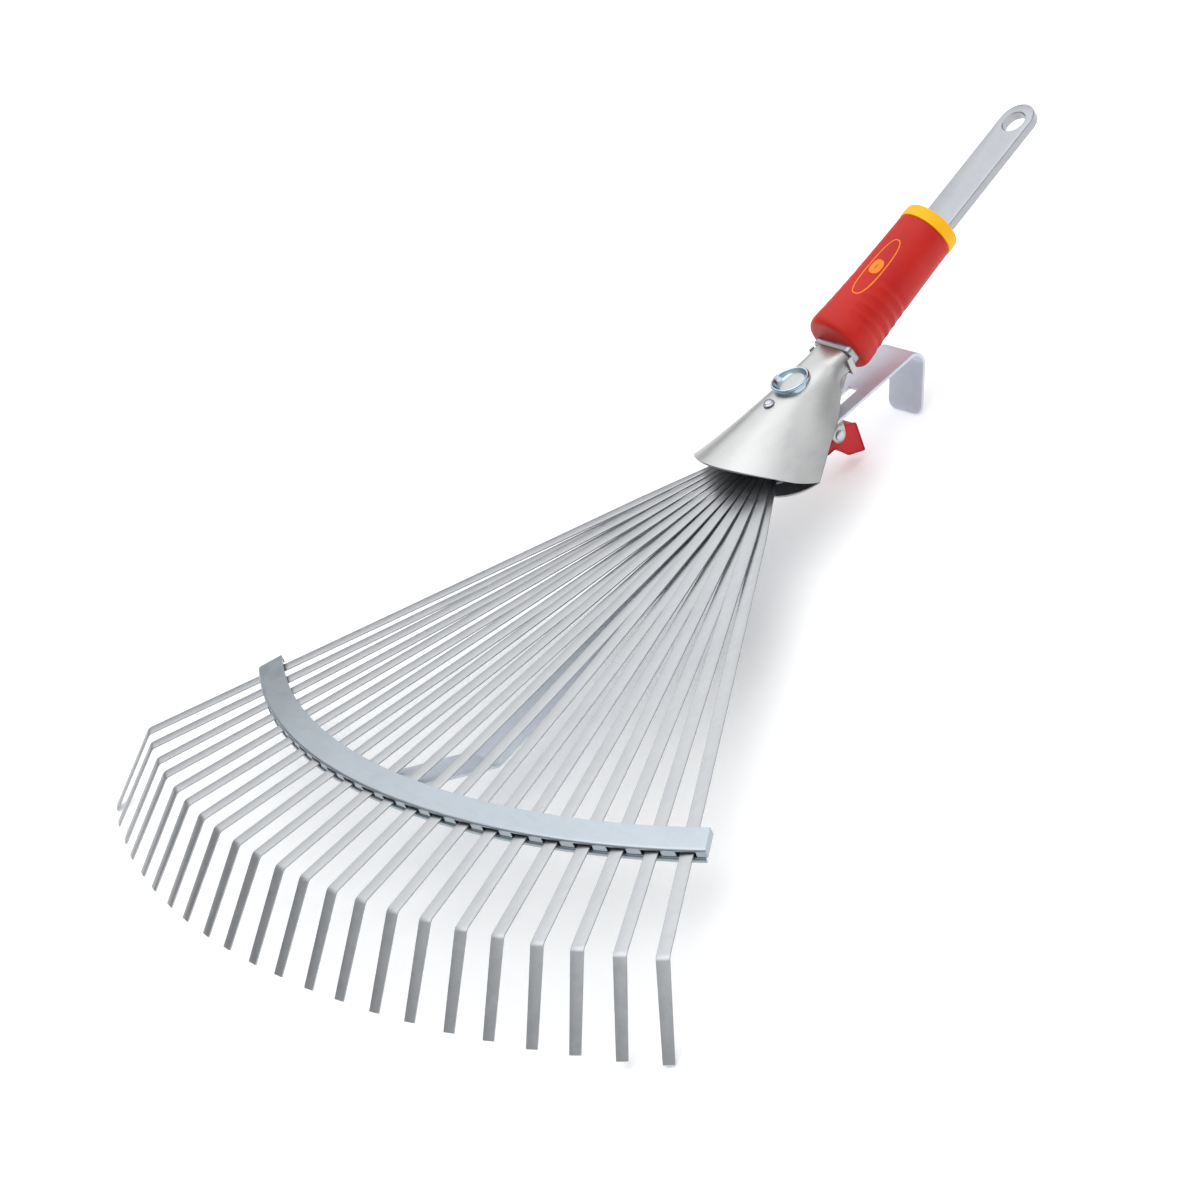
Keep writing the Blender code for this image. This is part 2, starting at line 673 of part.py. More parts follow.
def cell_solid(turns, radii, heights, filled):
    """Solid made of the cells of an arc-shaped grid for which filled(stretch, radial, level) is true."""
    bm = bmesh.new()
    corners = {}

    def vertex(i, r, h):
        if (i, r, h) not in corners:
            corners[i, r, h] = bm.verts.new(bar_point(radii[r], turns[i], heights[h]))
        return corners[i, r, h]

    size = (len(turns) - 1, len(radii) - 1, len(heights) - 1)

    def is_filled(cell):
        return all(0 <= c < s for c, s in zip(cell, size)) and filled(*cell)

    for cell in ((i, r, h) for i in range(size[0]) for r in range(size[1]) for h in range(size[2])):
        if not is_filled(cell):
            continue
        for axis in range(3):
            for side in (0, 1):
                beside = list(cell)
                beside[axis] += 2 * side - 1
                if is_filled(tuple(beside)):
                    continue
                fixed = cell[axis] + side
                others = [k for k in range(3) if k != axis]
                loop = []
                for step in ((0, 0), (1, 0), (1, 1), (0, 1)):
                    place = [0, 0, 0]
                    place[axis] = fixed
                    for k, extra in zip(others, step):
                        place[k] = cell[k] + extra
                    loop.append(vertex(*place))
                bm.faces.new(loop)
    return bm


def make_spreader_top(surface, parent):
    """Upper half of the spreader: a flat band whose front flange is cut into one window for each tine."""
    turns, kinds = bar_stations()
    front = BAR_REAR_RADIUS + BAR_DEPTH
    radii = (BAR_REAR_RADIUS, front - BAR_SHEET, front)
    heights = (BAR_TOOTH_END, BAR_UNDERSIDE, BAR_UNDERSIDE + BAR_SHEET)

    def filled(stretch, radial, level):
        flange = radial == 1 and kinds[stretch] == "tooth"
        return level == 1 or flange or kinds[stretch] == "end"

    new_object("spreader_top", cell_solid(turns, radii, heights, filled), surface, parent)


def foot_rivet_holes(parent):
    holes = [
        cylinder(FOOT_RIVET_RADIUS + FIT, -9 * MM, 0, 16, centre=(side * FOOT_RIVET_X, FOOT_RIVET_Y, 0))
        for side in (-1, 1)
    ]
    return cutter("foot_rivet_holes", merged(*holes), parent)


def make_spreader_bottom(surface, holes, parent):
    """Lower half of the spreader: a flat band under the tines with a small turned-down front lip."""
    turns, _ = bar_stations()
    front = BAR_REAR_RADIUS + BAR_DEPTH + BAR_LIP
    radii = (BAR_REAR_RADIUS + BAR_LIP, front - BAR_SHEET, front)
    floor = BAR_FLOOR - BAR_SHEET
    heights = (floor - LOWER_LIP_DROP, floor, BAR_FLOOR)

    def filled(_, radial, level):
        return level == 1 or radial == 1

    bottom = new_object("spreader_bottom", cell_solid(turns[1:-1], radii, heights, filled), surface, parent)
    cut(bottom, holes)


def foot_centre_height():
    under_band = BAR_FLOOR - BAR_SHEET + crown(STRAP_WIDTH / 2)
    return under_band - 0.4 * MM - STRAP_THICKNESS / 2


def make_draw_strap(surface, holes, parent):
    """Strap that carries the bar: foot under the bar, knee, straight run through the hood and finger tab."""
    level = STRAP_TOP_Z - STRAP_THICKNESS / 2
    foot = foot_centre_height()
    tab = Vector((0, math.cos(TAB_TURN), -math.sin(TAB_TURN))) * TAB_LENGTH
    hook = Vector((0, HOOK_Y, level))
    corners = [
        Vector((0, FOOT_END_Y, foot)), Vector((0, FOOT_START_Y, foot)), KNEE,
        Vector((0, STRAP_BEND_Y, level)), hook, hook + tab,
    ]
    path = rounded_path(corners, 7 * MM, 6)
    finish = path.pop()
    half = STRAP_WIDTH / 2
    widths = [half] * len(path)
    for i in range(6):
        turn = math.pi / 2 * i / 5
        path.append(finish - tab.normalized() * TAB_CORNER * (1 - math.sin(turn)))
        widths.append(half - TAB_CORNER * (1 - math.cos(turn)))
    strap = new_object("draw_strap", strip(path, widths, STRAP_THICKNESS), surface, parent)
    cut(strap, holes)
    slot_half = SLOT_HALF_WIDTH
    low, high = (STRAP_TOP_Z - 4 * MM, STRAP_TOP_Z + 2 * MM)
    ends = (HUB_Y - slot_half, HUB_Y + TRAVEL + slot_half)
    guide = block((-slot_half, ends[0], low), (slot_half, ends[1], high))
    cut(strap, cutter("guide_slot", guide, parent))


def make_foot_rivet(name, side, surface, parent):
    radius = FOOT_RIVET_RADIUS
    under = foot_centre_height() - STRAP_THICKNESS / 2 - FIT
    profile = (
        (1.2 * MM, under - 1.4 * MM), (2.8 * MM, under - 0.9 * MM), (3.3 * MM, under),
        (radius, under), (radius, BAR_FLOOR - 0.2 * MM),
    )
    bm = bmesh.new()
    turned(bm, profile, 16)
    new_object(name, bm, surface, parent, Matrix.Translation((side * FOOT_RIVET_X, FOOT_RIVET_Y, 0)))


def make_latch_lever(surface, parent):
    """Plastic lever: a cam nose that presses on the strap, and a thumb wing behind and below its pin."""
    half = LATCH_HALF_WIDTH
    bm = bmesh.new()
    loft(bm, [[Vector((x, y * MM, z * MM)) for y, z in LEVER_OUTLINE] for x in (-half, half)])
    lever = new_object("latch_lever", bm, surface, parent, Matrix.Translation(LATCH_PIVOT))
    bore = cylinder(LATCH_PIN_RADIUS + FIT, -half * 2, half * 2, 20, axis="X")
    cut(lever, cutter("latch_bore", bore, parent, Matrix.Translation(LATCH_PIVOT)))


def make_latch_pin(surface, parent):
    shank, head = LATCH_PIN_RADIUS, 3.2 * MM
    cheek = LATCH_HALF_WIDTH + 0.7 * MM + CHEEK_SHEET + FIT
    profile = (
        (head - 0.8 * MM, -cheek - 1.3 * MM), (head, -cheek - 0.8 * MM), (head, -cheek), (shank, -cheek),
        (shank, cheek), (head, cheek), (head, cheek + 0.8 * MM), (head - 0.8 * MM, cheek + 1.3 * MM),
    )
    bm = bmesh.new()
    turned(bm, profile, 20, axis="X")
    new_object("latch_pin", bm, surface, parent, Matrix.Translation(LATCH_PIVOT))


def back_height_at(x, y):
    """Outside height of the back shell above a point in plan, found by halving along the shell."""
    low, high = SEAM_START_Y, BACK_REAR_Y
    for _ in range(30):
        edge_y = (low + high) / 2
        a = min(abs(x) / hood_half_width(edge_y), 1)
        if back_surface(a, edge_y).y < y:
            low = edge_y
        else:
            high = edge_y
    return back_surface(a, low).z


def make_latch_cheek(name, side, surface, parent):
    """Ear on the back shell that carries one end of the latch pin."""
    near = side * (LATCH_HALF_WIDTH + 0.7 * MM)
    far = near + side * CHEEK_SHEET
    pivot = LATCH_PIVOT
    outline = []
    for i in range(9):
        turn = math.pi + math.pi * i / 8
        outline.append((pivot.y + CHEEK_RADIUS * math.cos(turn), pivot.z + CHEEK_RADIUS * math.sin(turn)))
    start, finish = pivot.y + 6.5 * MM, pivot.y - 8 * MM
    for i in range(8):
        y = start + (finish - start) * i / 7
        under_strap = STRAP_TOP_Z - STRAP_THICKNESS - FIT
        height = min(back_height_at(near, y), back_height_at(far, y), under_strap)
        outline.append((y, height - 0.4 * MM))
    bm = bmesh.new()
    loft(bm, [[Vector((x, y, z)) for y, z in outline] for x in (near, far)])
    cheek = new_object(name, bm, surface, parent)
    bore = cylinder(LATCH_PIN_RADIUS + FIT, -20 * MM, 20 * MM, 20, axis="X")
    cut(cheek, cutter(name + "_bore", bore, parent, Matrix.Translation(pivot)))


# Placing


def world_points(name):
    graph = bpy.context.evaluated_depsgraph_get()
    obj = bpy.data.objects[name].evaluated_get(graph)
    return [obj.matrix_world @ vertex.co for vertex in obj.data.vertices]


def rest_on_floor(rake):
    """Tips the head onto its outer tine tips and its finger tab, and centres its box over the origin."""
    for _ in range(2):
        bpy.context.view_layer.update()
        tip = min(world_points("tine_01"), key=lambda point: point.z)
        tab = min(world_points("draw_strap"), key=lambda point: point.z if point.y > 0 else 1)
        rake.rotation_euler.x -= math.atan2(tab.z - tip.z, tab.y - tip.y)
    bpy.context.view_layer.update()
    names = [obj.name for obj in bpy.data.objects if obj.type == "MESH" and not obj.hide_render]
    points = [point for name in names for point in world_points(name)]
    lowest = min(point.z for point in points)
    middle = (min(point.y for point in points) + max(point.y for point in points)) / 2
    rake.location = (0, -middle, -lowest)
    bpy.context.view_layer.update()


def main():
    clear_scene()
    surfaces = make_materials()
    steel, spring = surfaces["galvanised"], surfaces["spring"]
    rake = bpy.data.objects.new("rake", None)
    bpy.context.scene.collection.objects.link(rake)

    make_hood_top(steel, rake)
    make_hood_back(steel, rake)
    make_neck_band(steel, rake)
    make_tang(surfaces["tang"], rake)
    slot = tang_slot_cutter(rake)
    make_ferrule(surfaces["tang"], slot, rake)
    make_sleeve(surfaces["red"], slot, rake)
    make_collar(surfaces["yellow"], slot, rake)
    make_cup_rivet(surfaces["cup"], rake)
    make_front_rivet(steel, rake)
    make_spacer_tube("hub_spacer", HUB_Y, HUB_SHANK_RADIUS + FIT, 6.5 * MM, steel, rake)
    make_spacer_tube("front_spacer", FRONT_RIVET_Y, FRONT_SHANK_RADIUS + FIT, 4.5 * MM, steel, rake)
    make_root_plate("root_plate_upper", 1, steel, rake)
    make_root_plate("root_plate_lower", -1, steel, rake)
    make_packer(steel, rake)

    for index in range(TINE_COUNT):
        make_tine(index, spring, rake)

    foot_holes = foot_rivet_holes(rake)
    make_spreader_top(steel, rake)
    make_spreader_bottom(steel, foot_holes, rake)
    make_draw_strap(steel, foot_holes, rake)
    make_foot_rivet("foot_rivet_left", -1, steel, rake)
    make_foot_rivet("foot_rivet_right", 1, steel, rake)

    make_latch_lever(surfaces["latch_red"], rake)
    make_latch_pin(steel, rake)
    make_latch_cheek("latch_cheek_left", -1, steel, rake)
    make_latch_cheek("latch_cheek_right", 1, steel, rake)

    rest_on_floor(rake)


main()
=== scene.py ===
import math

import bmesh
import bpy
from mathutils import Matrix, Vector


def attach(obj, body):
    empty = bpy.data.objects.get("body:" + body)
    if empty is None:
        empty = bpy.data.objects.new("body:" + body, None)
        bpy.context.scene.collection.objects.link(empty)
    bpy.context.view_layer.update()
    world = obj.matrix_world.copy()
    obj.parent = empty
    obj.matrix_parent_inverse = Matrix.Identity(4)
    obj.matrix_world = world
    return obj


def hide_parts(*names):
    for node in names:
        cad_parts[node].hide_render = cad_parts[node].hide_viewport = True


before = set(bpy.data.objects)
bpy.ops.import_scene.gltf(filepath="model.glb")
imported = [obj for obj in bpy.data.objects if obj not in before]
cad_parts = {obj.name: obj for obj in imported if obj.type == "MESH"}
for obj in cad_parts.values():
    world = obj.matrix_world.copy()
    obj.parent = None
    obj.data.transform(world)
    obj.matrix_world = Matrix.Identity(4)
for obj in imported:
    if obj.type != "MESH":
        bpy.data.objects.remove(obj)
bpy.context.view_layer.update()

MM = 0.001
HEAD = Matrix.Translation((0, 0.09675595, 0.0483999)) @ Matrix.Rotation(math.radians(-2.70021), 4, "X")

# Camera: to the right of the fan, above it and rolled
CAMERA_AT = Vector((1.92685, -1.04023, 1.4999))
CAMERA_RIGHT = Vector((0.632417, 0.669101, -0.390324))
CAMERA_BACK = Vector((0.741376, -0.376764, 0.555348))
CAMERA_LENS = 135.5
CAMERA_SENSOR = 36
CAMERA_FAR = 50

# Dimensions of the head, as in its CAD design
FIT = 0.3 * MM

# Tines
TINE_COUNT = 22
TINE_THICKNESS = 1 * MM
TINE_WIDTH = 8 * MM
TIP_WIDTH = 7 * MM
ROOT_WIDTH = 3.4 * MM
TAB_WIDTH = 2.2 * MM
TAB_HEIGHT = 3.2 * MM
TAPER_LENGTH = 58 * MM
PIVOT_RADIUS = 34 * MM
LAYER_PITCH = 2.4 * MM
BEND_DISTANCE = 372.5 * MM
OUTER_EXTRA = 15 * MM
BEND_ANGLE = math.radians(42)
BEND_RADIUS = 5 * MM
LEG_LENGTH = 56 * MM
TINE_EASE = 0.3 * MM

# Spreader bar
BAR_CENTRE_Y = 41.5 * MM
BAR_REAR_RADIUS = 363.5 * MM
BAR_DEPTH = 16.5 * MM
BAR_MIDDLE = BAR_REAR_RADIUS + BAR_DEPTH / 2
BAR_SHEET = 1.2 * MM
BAR_LIP = 1 * MM
BAR_TOP_Z = 3.8 * MM
BAR_UNDERSIDE_Z = 2.62 * MM
BAR_TOOTH_END_Z = -1.2 * MM
BAR_FLOOR_Z = -1.6 * MM
BAR_BOTTOM_Z = -4.4 * MM
BAR_FOLD_RADIUS = 1.6 * MM
BAR_EDGE = 0.22 * MM
BAR_END_GAP = 0.02 * MM
LOWER_BAR_SPAN = 0.994
WINDOW_PITCH = 19.3 * MM
WINDOW_WIDTH = 11.2 * MM
BAR_END_MARGIN = 11.5 * MM
CROWN = 0.53

# Hood
TOP_SHEET = 1.5 * MM
BACK_SHEET = 1.2 * MM
HOOD_EDGE = 0.45 * MM
SEAM_START_Y = -22 * MM
MOUTH_Y = -26 * MM
MOUTH_HALF = 54 * MM
NECK_Y = 44 * MM
NECK_HALF = 15.8 * MM
BACK_REAR_Y = 50 * MM
TOP_REAR_Y = 54 * MM
LIP_REACH = 27 * MM
LIP_CORNER = 0.85
ARCH_POWER = 2.1
FLANK_POWER = 1.1
BELLY_POWER = 2.2
RIDGE_NECK_Z = 28.3 * MM
RIDGE_DROP = 8.3 * MM
SEAM_MOUTH_Z = -3.5 * MM
SEAM_MIDDLE_Z = 3 * MM
SEAM_MIDDLE_Y = 23.5 * MM
SEAM_NECK_Z = 17 * MM
BACK_LIP_REACH = 11 * MM
BELLY_Z = -17 * MM
BELLY_END_Y = 14 * MM

# Openings in the back shell for the strap and for the lever's cam
EXIT_SLOT_MARGIN = 1 * MM
EXIT_SLOT_START_Y = 12 * MM
EXIT_SLOT_END_Y = 60 * MM
CAM_WINDOW_LOW = (-9 * MM, 24.5 * MM, -20 * MM)
CAM_WINDOW_HIGH = (9 * MM, 36.5 * MM, -5.4 * MM)

# Rivets through the hood
HUB_Y = 19.6 * MM
HUB_HOLE_RADIUS = 3.8 * MM
FRONT_RIVET_Y = -0.5 * MM

# Tang, and the pieces threaded on it, measured along it from its bend
TANG_INNER = Vector((0, -6, 19.2)) * MM
TANG_BEND = Vector((0, 52, 21.95)) * MM
TANG_BEND_RADIUS = 20 * MM
TANG_SLOPE = math.radians(12)
TANG_WIDTH = 24.7 * MM
TANG_THICKNESS = 6 * MM
TANG_LENGTH = 205.5 * MM
TANG_EDGE = 0.8 * MM
TANG_HOLE_RADIUS = 7.5 * MM
TANG_HOLE_INSET = 14.3 * MM
FERRULE_START = 3.5 * MM
FERRULE_LENGTH = 9 * MM
FERRULE_WIDTH = 31 * MM
FERRULE_HEIGHT = 12 * MM
SLEEVE_START = 7.5 * MM
SLEEVE_RISE = 2.3 * MM
COLLAR_START = 97.8 * MM

# Latch lever
LATCH_PIVOT = Vector((0, 30, -17.5)) * MM
LATCH_HALF_WIDTH = 8 * MM
LATCH_CORNER = 1.6 * MM
LATCH_EDGE = 0.6 * MM

# Draw strap
STRAP_WIDTH = 29 * MM
STRAP_THICKNESS = 2 * MM
STRAP_LEVEL = -6.4 * MM
STRAP_FOOT_TOP = -3.26 * MM
STRAP_BEND_RADIUS = 7 * MM
STRAP_EDGE = 0.45 * MM
STRAP_BEND_Y = -33 * MM
STRAP_TRAVEL = 35 * MM
KNEE = Vector((0, -270, -29.5)) * MM
FOOT_START_Y = -318 * MM
FOOT_END_Y = -337 * MM
FOOT_SET_BACK = 0.01 * MM
HOOK_Y = 108 * MM
TAB_LENGTH = 43 * MM
TAB_TURN = math.radians(119.5)
TAB_CORNER = 6 * MM
SLOT_HALF_WIDTH = 4.2 * MM


# Materials

# A Mix node's colour sockets go by number, because its other sockets have the same names
COLOUR_A = 6
COLOUR_B = 7
COLOUR_RESULT = 2

# How much darker blotches and lines are than the dark colour, and how strong the bump is
DULL_SHARE = 0.85
BUMP_STRENGTH = 0.12


class Shader:
    """A Principled material and the few node helpers that the finishes below share."""

    def __init__(self, name):
        self.material = bpy.data.materials.new(name)
        self.material.use_nodes = True
        self.tree = self.material.node_tree
        self.surface = self.tree.nodes["Principled BSDF"]
        self.place = self.node("ShaderNodeTexCoord").outputs["Object"]

    def node(self, kind, **inputs):
        made = self.tree.nodes.new(kind)
        for name, value in inputs.items():
            self.feed(made.inputs[name.replace("_", " ")], value)
        return made

    def feed(self, socket, value):
        if isinstance(value, bpy.types.NodeSocket):
            self.tree.links.new(value, socket)
        else:
            socket.default_value = value

    def set(self, **inputs):
        for name, value in inputs.items():
            self.feed(self.surface.inputs[name.replace("_", " ")], value)

    def stretched(self, scale):
        return self.node("ShaderNodeMapping", Vector=self.place, Scale=scale).outputs["Vector"]

    def noise(self, scale, detail, rough, where=None):
        place = where or self.place
        made = self.node("ShaderNodeTexNoise", Scale=scale, Detail=detail, Roughness=rough, Vector=place)
        return made.outputs["Fac"]

    def spread(self, value, low, high, start=0.0, finish=1.0):
        made = self.node("ShaderNodeMapRange", Value=value)
        made.inputs["From Min"].default_value = start
        made.inputs["From Max"].default_value = finish
        made.inputs["To Min"].default_value = low
        made.inputs["To Max"].default_value = high
        return made.outputs["Result"]

    def mixed(self, factor, first, second):
        made = self.tree.nodes.new("ShaderNodeMix")
        made.data_type = "RGBA"
        self.feed(made.inputs["Factor"], factor)
        self.feed(made.inputs[COLOUR_A], first)
        self.feed(made.inputs[COLOUR_B], second)
        return made.outputs[COLOUR_RESULT]

    def bump(self, height, strength, distance):
        made = self.node("ShaderNodeBump", Height=height, Strength=strength, Distance=distance)
        self.feed(self.surface.inputs["Normal"], made.outputs["Normal"])


def zinc(name, light, dark, rough, spangle, grain, stretch=(1, 1, 1)):
    """Galvanised sheet: crystal spangle, dull blotches and fine rolling lines along the stretch."""
    shader = Shader(name)
    cells = shader.node("ShaderNodeTexVoronoi", Vector=shader.place, Scale=spangle, Randomness=1.0)
    crystal = shader.node("ShaderNodeSeparateColor", Color=cells.outputs["Color"]).outputs["Red"]
    blotch = shader.noise(28, 5, 0.65)
    lines = shader.noise(grain, 3, 0.7, shader.stretched(stretch))
    dull = (*[DULL_SHARE * part for part in dark], 1)
    base = shader.mixed(shader.spread(crystal, 0.35, 0.7), (*dark, 1), (*light, 1))
    base = shader.mixed(shader.spread(blotch, 0, 0.3, 0.5, 0.8), base, dull)
    base = shader.mixed(shader.spread(lines, 0, 0.2, 0.5, 0.7), base, dull)
    level = shader.node("ShaderNodeMath")
    level.operation = "ADD"
    shader.feed(level.inputs[0], shader.spread(crystal, rough - 0.03, rough + 0.03))
    shader.feed(level.inputs[1], shader.spread(blotch, -0.02, 0.06))
    shader.set(Base_Color=base, Metallic=1.0, Roughness=level.outputs[0])
    height = shader.mixed(0.4, shader.spread(lines, 0, 1), shader.noise(900, 2, 0.5))
    shader.bump(height, BUMP_STRENGTH, 0.4 * MM)
    return shader.material


def polish(name, light, dark, rough):
    """Bright plated steel with only a faint cloud and fine rubbing marks."""
    shader = Shader(name)
    cloud = shader.noise(60, 3, 0.5)
    rub = shader.noise(700, 2, 0.6)
    shader.set(Base_Color=shader.mixed(cloud, (*dark, 1), (*light, 1)), Metallic=1.0)
    shader.set(Roughness=shader.spread(rub, rough, rough + 0.06))
    shader.bump(rub, BUMP_STRENGTH / 4, 0.2 * MM)
    return shader.material


def plastic(name, light, dark, rough, grain):
    """Moulded plastic: faint mottling, matt grain and light scuffs."""
    shader = Shader(name)
    cloud = shader.noise(35, 4, 0.6)
    scuff = shader.noise(140, 6, 0.75)
    base = shader.mixed(shader.spread(cloud, 0, 1, 0.35, 0.7), (*dark, 1), (*light, 1))
    shader.set(Base_Color=base, Roughness=shader.spread(scuff, rough - 0.06, rough + 0.1))
    shader.set(Specular_IOR_Level=0.28)
    shader.bump(shader.noise(grain, 3, 0.5), BUMP_STRENGTH, 0.3 * MM)
    return shader.material


def floor_finish():
    """Pale matt floor with a faint glow of its own, which keeps the shadows under the fan light."""
    shader = Shader("studio_floor")
    cloud = shader.noise(3, 3, 0.5)
    base = shader.mixed(cloud, (0.93, 0.93, 0.935, 1), (0.95, 0.95, 0.95, 1))
    shader.set(Base_Color=base, Roughness=0.75)
    shader.set(Emission_Color=(1, 1, 1, 1), Emission_Strength=0.20)
    return shader.material


finishes = {
    "sheet": zinc(
        "hood_zinc", (0.56, 0.56, 0.55), (0.485, 0.487, 0.49), rough=0.36, spangle=160, grain=260,
        stretch=(1, 0.12, 1),
    ),
    "bar": zinc(
        "bar_zinc", (0.43, 0.47, 0.505), (0.36, 0.40, 0.44), rough=0.33, spangle=180, grain=260,
        stretch=(0.2, 1, 1),
    ),
    "spring": zinc(
        "tine_zinc", (0.49, 0.50, 0.51), (0.40, 0.41, 0.425), rough=0.37, spangle=220, grain=500,
        stretch=(1, 0.05, 1),
    ),
    "strap": zinc(
        "strap_zinc", (0.77, 0.805, 0.87), (0.66, 0.70, 0.775), rough=0.62, spangle=180, grain=400,
        stretch=(1, 0.05, 1),
    ),
    "tang": zinc(
        "tang_plating", (0.42, 0.43, 0.45), (0.365, 0.375, 0.40), rough=0.30, spangle=300, grain=600,
        stretch=(1, 0.04, 1),
    ),
    "cup": polish("cup_polish", (0.50, 0.61, 0.68), (0.40, 0.50, 0.58), rough=0.15),
    "rivet": zinc("rivet_zinc", (0.62, 0.63, 0.66), (0.5, 0.51, 0.54), rough=0.3, spangle=400, grain=900),
    # Dark zinc that paints shade: the shade inside the hood's mouth on the root plates and pack spacer, and
    # between the bar sheets
    "painted_shade": zinc("painted_shade_zinc", (0.22, 0.27, 0.29), (0.13, 0.17, 0.19), rough=0.45, spangle=200, grain=400),
    "red": plastic("sleeve_plastic", (0.58, 0.016, 0.008), (0.49, 0.009, 0.006), rough=0.45, grain=1500),
    "yellow": plastic("collar_plastic", (1.0, 0.51, 0.002), (0.96, 0.47, 0.002), rough=0.42, grain=1500),
    "mark": plastic("mark_paint", (0.95, 0.27, 0.010), (0.90, 0.23, 0.008), rough=0.4, grain=2500),
    "latch": plastic("latch_plastic", (0.62, 0.018, 0.026), (0.52, 0.012, 0.020), rough=0.44, grain=1500),
    "floor": floor_finish(),
}


# Mesh helpers. Shapes are written in the head's own frame and moved into the row frame at the end.

BEVEL_SEGMENTS = 3
WELD = 0.001 * MM
ROUND_SECTION_STEPS = 3


def loft(bm, rings, closed=False):
    """Faces between each ring of points and the next: capped at both ends, or closed into a loop."""
    made = [[bm.verts.new(point) for point in ring] for ring in rings]
    count = len(made[0])
    pairs = list(zip(made, made[1:]))
    if closed:
        pairs.append((made[-1], made[0]))
    for near, far in pairs:
        for i in range(count):
            j = (i + 1) % count
            bm.faces.new((near[i], near[j], far[j], far[i]))
    if not closed:
        bm.faces.new(made[0])
        bm.faces.new(made[-1])


def piece(name, bm, finish, body, nodes, place=None, sharp=35, bevel=0.0):
    """Object from a bmesh in the head's frame. It stands for these CAD nodes and moves with their body."""
    if place is not None:
        bmesh.ops.transform(bm, matrix=place, verts=bm.verts)
    bmesh.ops.transform(bm, matrix=HEAD, verts=bm.verts)
    return finished(name, bm, finish, body, nodes, sharp, bevel)


def finished(name, bm, finish, body, nodes, sharp, bevel):
    """Object from a bmesh in the row frame, with its finish, its edges eased by bevel, and its body."""
    bmesh.ops.recalc_face_normals(bm, faces=bm.faces)
    mesh = bpy.data.meshes.new(name)
    bm.to_mesh(mesh)
    bm.free()
    mesh.shade_smooth()
    if not bevel:
        mesh.set_sharp_from_angle(angle=math.radians(sharp))
    obj = bpy.data.objects.new(name, mesh)
    bpy.context.scene.collection.objects.link(obj)
    mesh.materials.append(finishes[finish])
    if bevel:
        edge = obj.modifiers.new("edge", "BEVEL")
        edge.width = bevel
        edge.segments = BEVEL_SEGMENTS
        edge.limit_method = "ANGLE"
        edge.angle_limit = math.radians(sharp)
        edge.harden_normals = True
        edge.use_clamp_overlap = True
    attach(obj, body)
    if nodes:
        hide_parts(*nodes)
    return obj


def plain_copy(node, finish, body):
    """The CAD node's own shape with a finished surface, for a small piece that needs no finer mesh."""
    bm = bmesh.new()
    bm.from_mesh(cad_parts[node].data)
    bmesh.ops.remove_doubles(bm, verts=bm.verts, dist=WELD)
    return finished(node + "_skin", bm, finish, body, [node], sharp=35, bevel=0.0)


def temporary(bm, name):
    """Object that only lasts for a boolean."""
    mesh = bpy.data.meshes.new(name)
    bmesh.ops.recalc_face_normals(bm, faces=bm.faces)
    bm.to_mesh(mesh)
    bm.free()
    obj = bpy.data.objects.new(name, mesh)
    bpy.context.scene.collection.objects.link(obj)
    return obj


def carved(bm, *tools):
    """The shape with these closed shapes cut out of it."""
    solid = temporary(bm, "carved")
    cutters = [temporary(tool, "carver") for tool in tools]
    for tool in cutters:
        boolean = solid.modifiers.new("cut", "BOOLEAN")
        boolean.object = tool
    result = bmesh.new()
    result.from_object(solid, bpy.context.evaluated_depsgraph_get())
    for obj in (solid, *cutters):
        mesh = obj.data
        bpy.data.objects.remove(obj)
        bpy.data.meshes.remove(mesh)
    return result


def block(low, high):
    """Box between two corners, to cut with."""
    bm = bmesh.new()
    corners = ((low[0], low[1]), (high[0], low[1]), (high[0], high[1]), (low[0], high[1]))
    loft(bm, [[Vector((x, y, z)) for x, y in corners] for z in (low[2], high[2])])
    return bm


def spool(radius, half_height, chamfer, place):
    """Cutter for a round hole with chamfered rims in a plate of this half height around place."""
    bm = bmesh.new()
    flare = 1 * MM
    profile = (
        (radius + chamfer + flare, -half_height - flare),
        (radius, -half_height + chamfer),
        (radius, half_height - chamfer),
        (radius + chamfer + flare, half_height + flare),
    )
    upright = Matrix.Rotation(math.pi / 2, 4, "X")
    sides = 64
    loft(bm, [[place @ upright @ point for point in ring(r, along, sides)] for r, along in profile])
    return bm


def filleted(outline, radius, steps=5):
    """Closed outline of 2-D points with rounded corners, each by at most a third of its shorter side."""
    points = []
    for i, corner in enumerate(outline):
        before = outline[i - 1] - corner
        after = outline[(i + 1) % len(outline)] - corner
        reach = min(radius, before.length / 3, after.length / 3)
        start = corner + before.normalized() * reach
        finish = corner + after.normalized() * reach
        for k in range(steps + 1):
            t = k / steps
            points.append(start * (1 - t) ** 2 + corner * (2 * t * (1 - t)) + finish * t * t)
    return points


def inset_outline(outline, distance):
    """The outline moved inwards. It runs anticlockwise."""
    moved = []
    for i, point in enumerate(outline):
        along = (outline[(i + 1) % len(outline)] - outline[i - 1]).normalized()
        moved.append(point + Vector((-along.y, along.x)) * distance)
    return moved


def prism(outline, low, high, ease):
    """Solid from X = low to X = high over an outline of (y, z) points, with rounded rims."""
    area = sum(a.x * b.y - b.x * a.y for a, b in zip(outline, outline[1:] + outline[:1]))
    if area < 0:
        outline = outline[::-1]
    rings = []
    steps = 4
    for end, inward in ((low, 1), (high, -1)):
        stretch = []
        for k in range(steps + 1):
            turn = math.pi / 2 * k / steps
            x = end + inward * ease * (1 - math.sin(turn))
            inset = inset_outline(outline, ease * (1 - math.cos(turn)))
            stretch.append([Vector((x, point.x, point.y)) for point in inset])
        rings += stretch[::-1] if inward == -1 else stretch
    bm = bmesh.new()
    loft(bm, rings)
    return bm


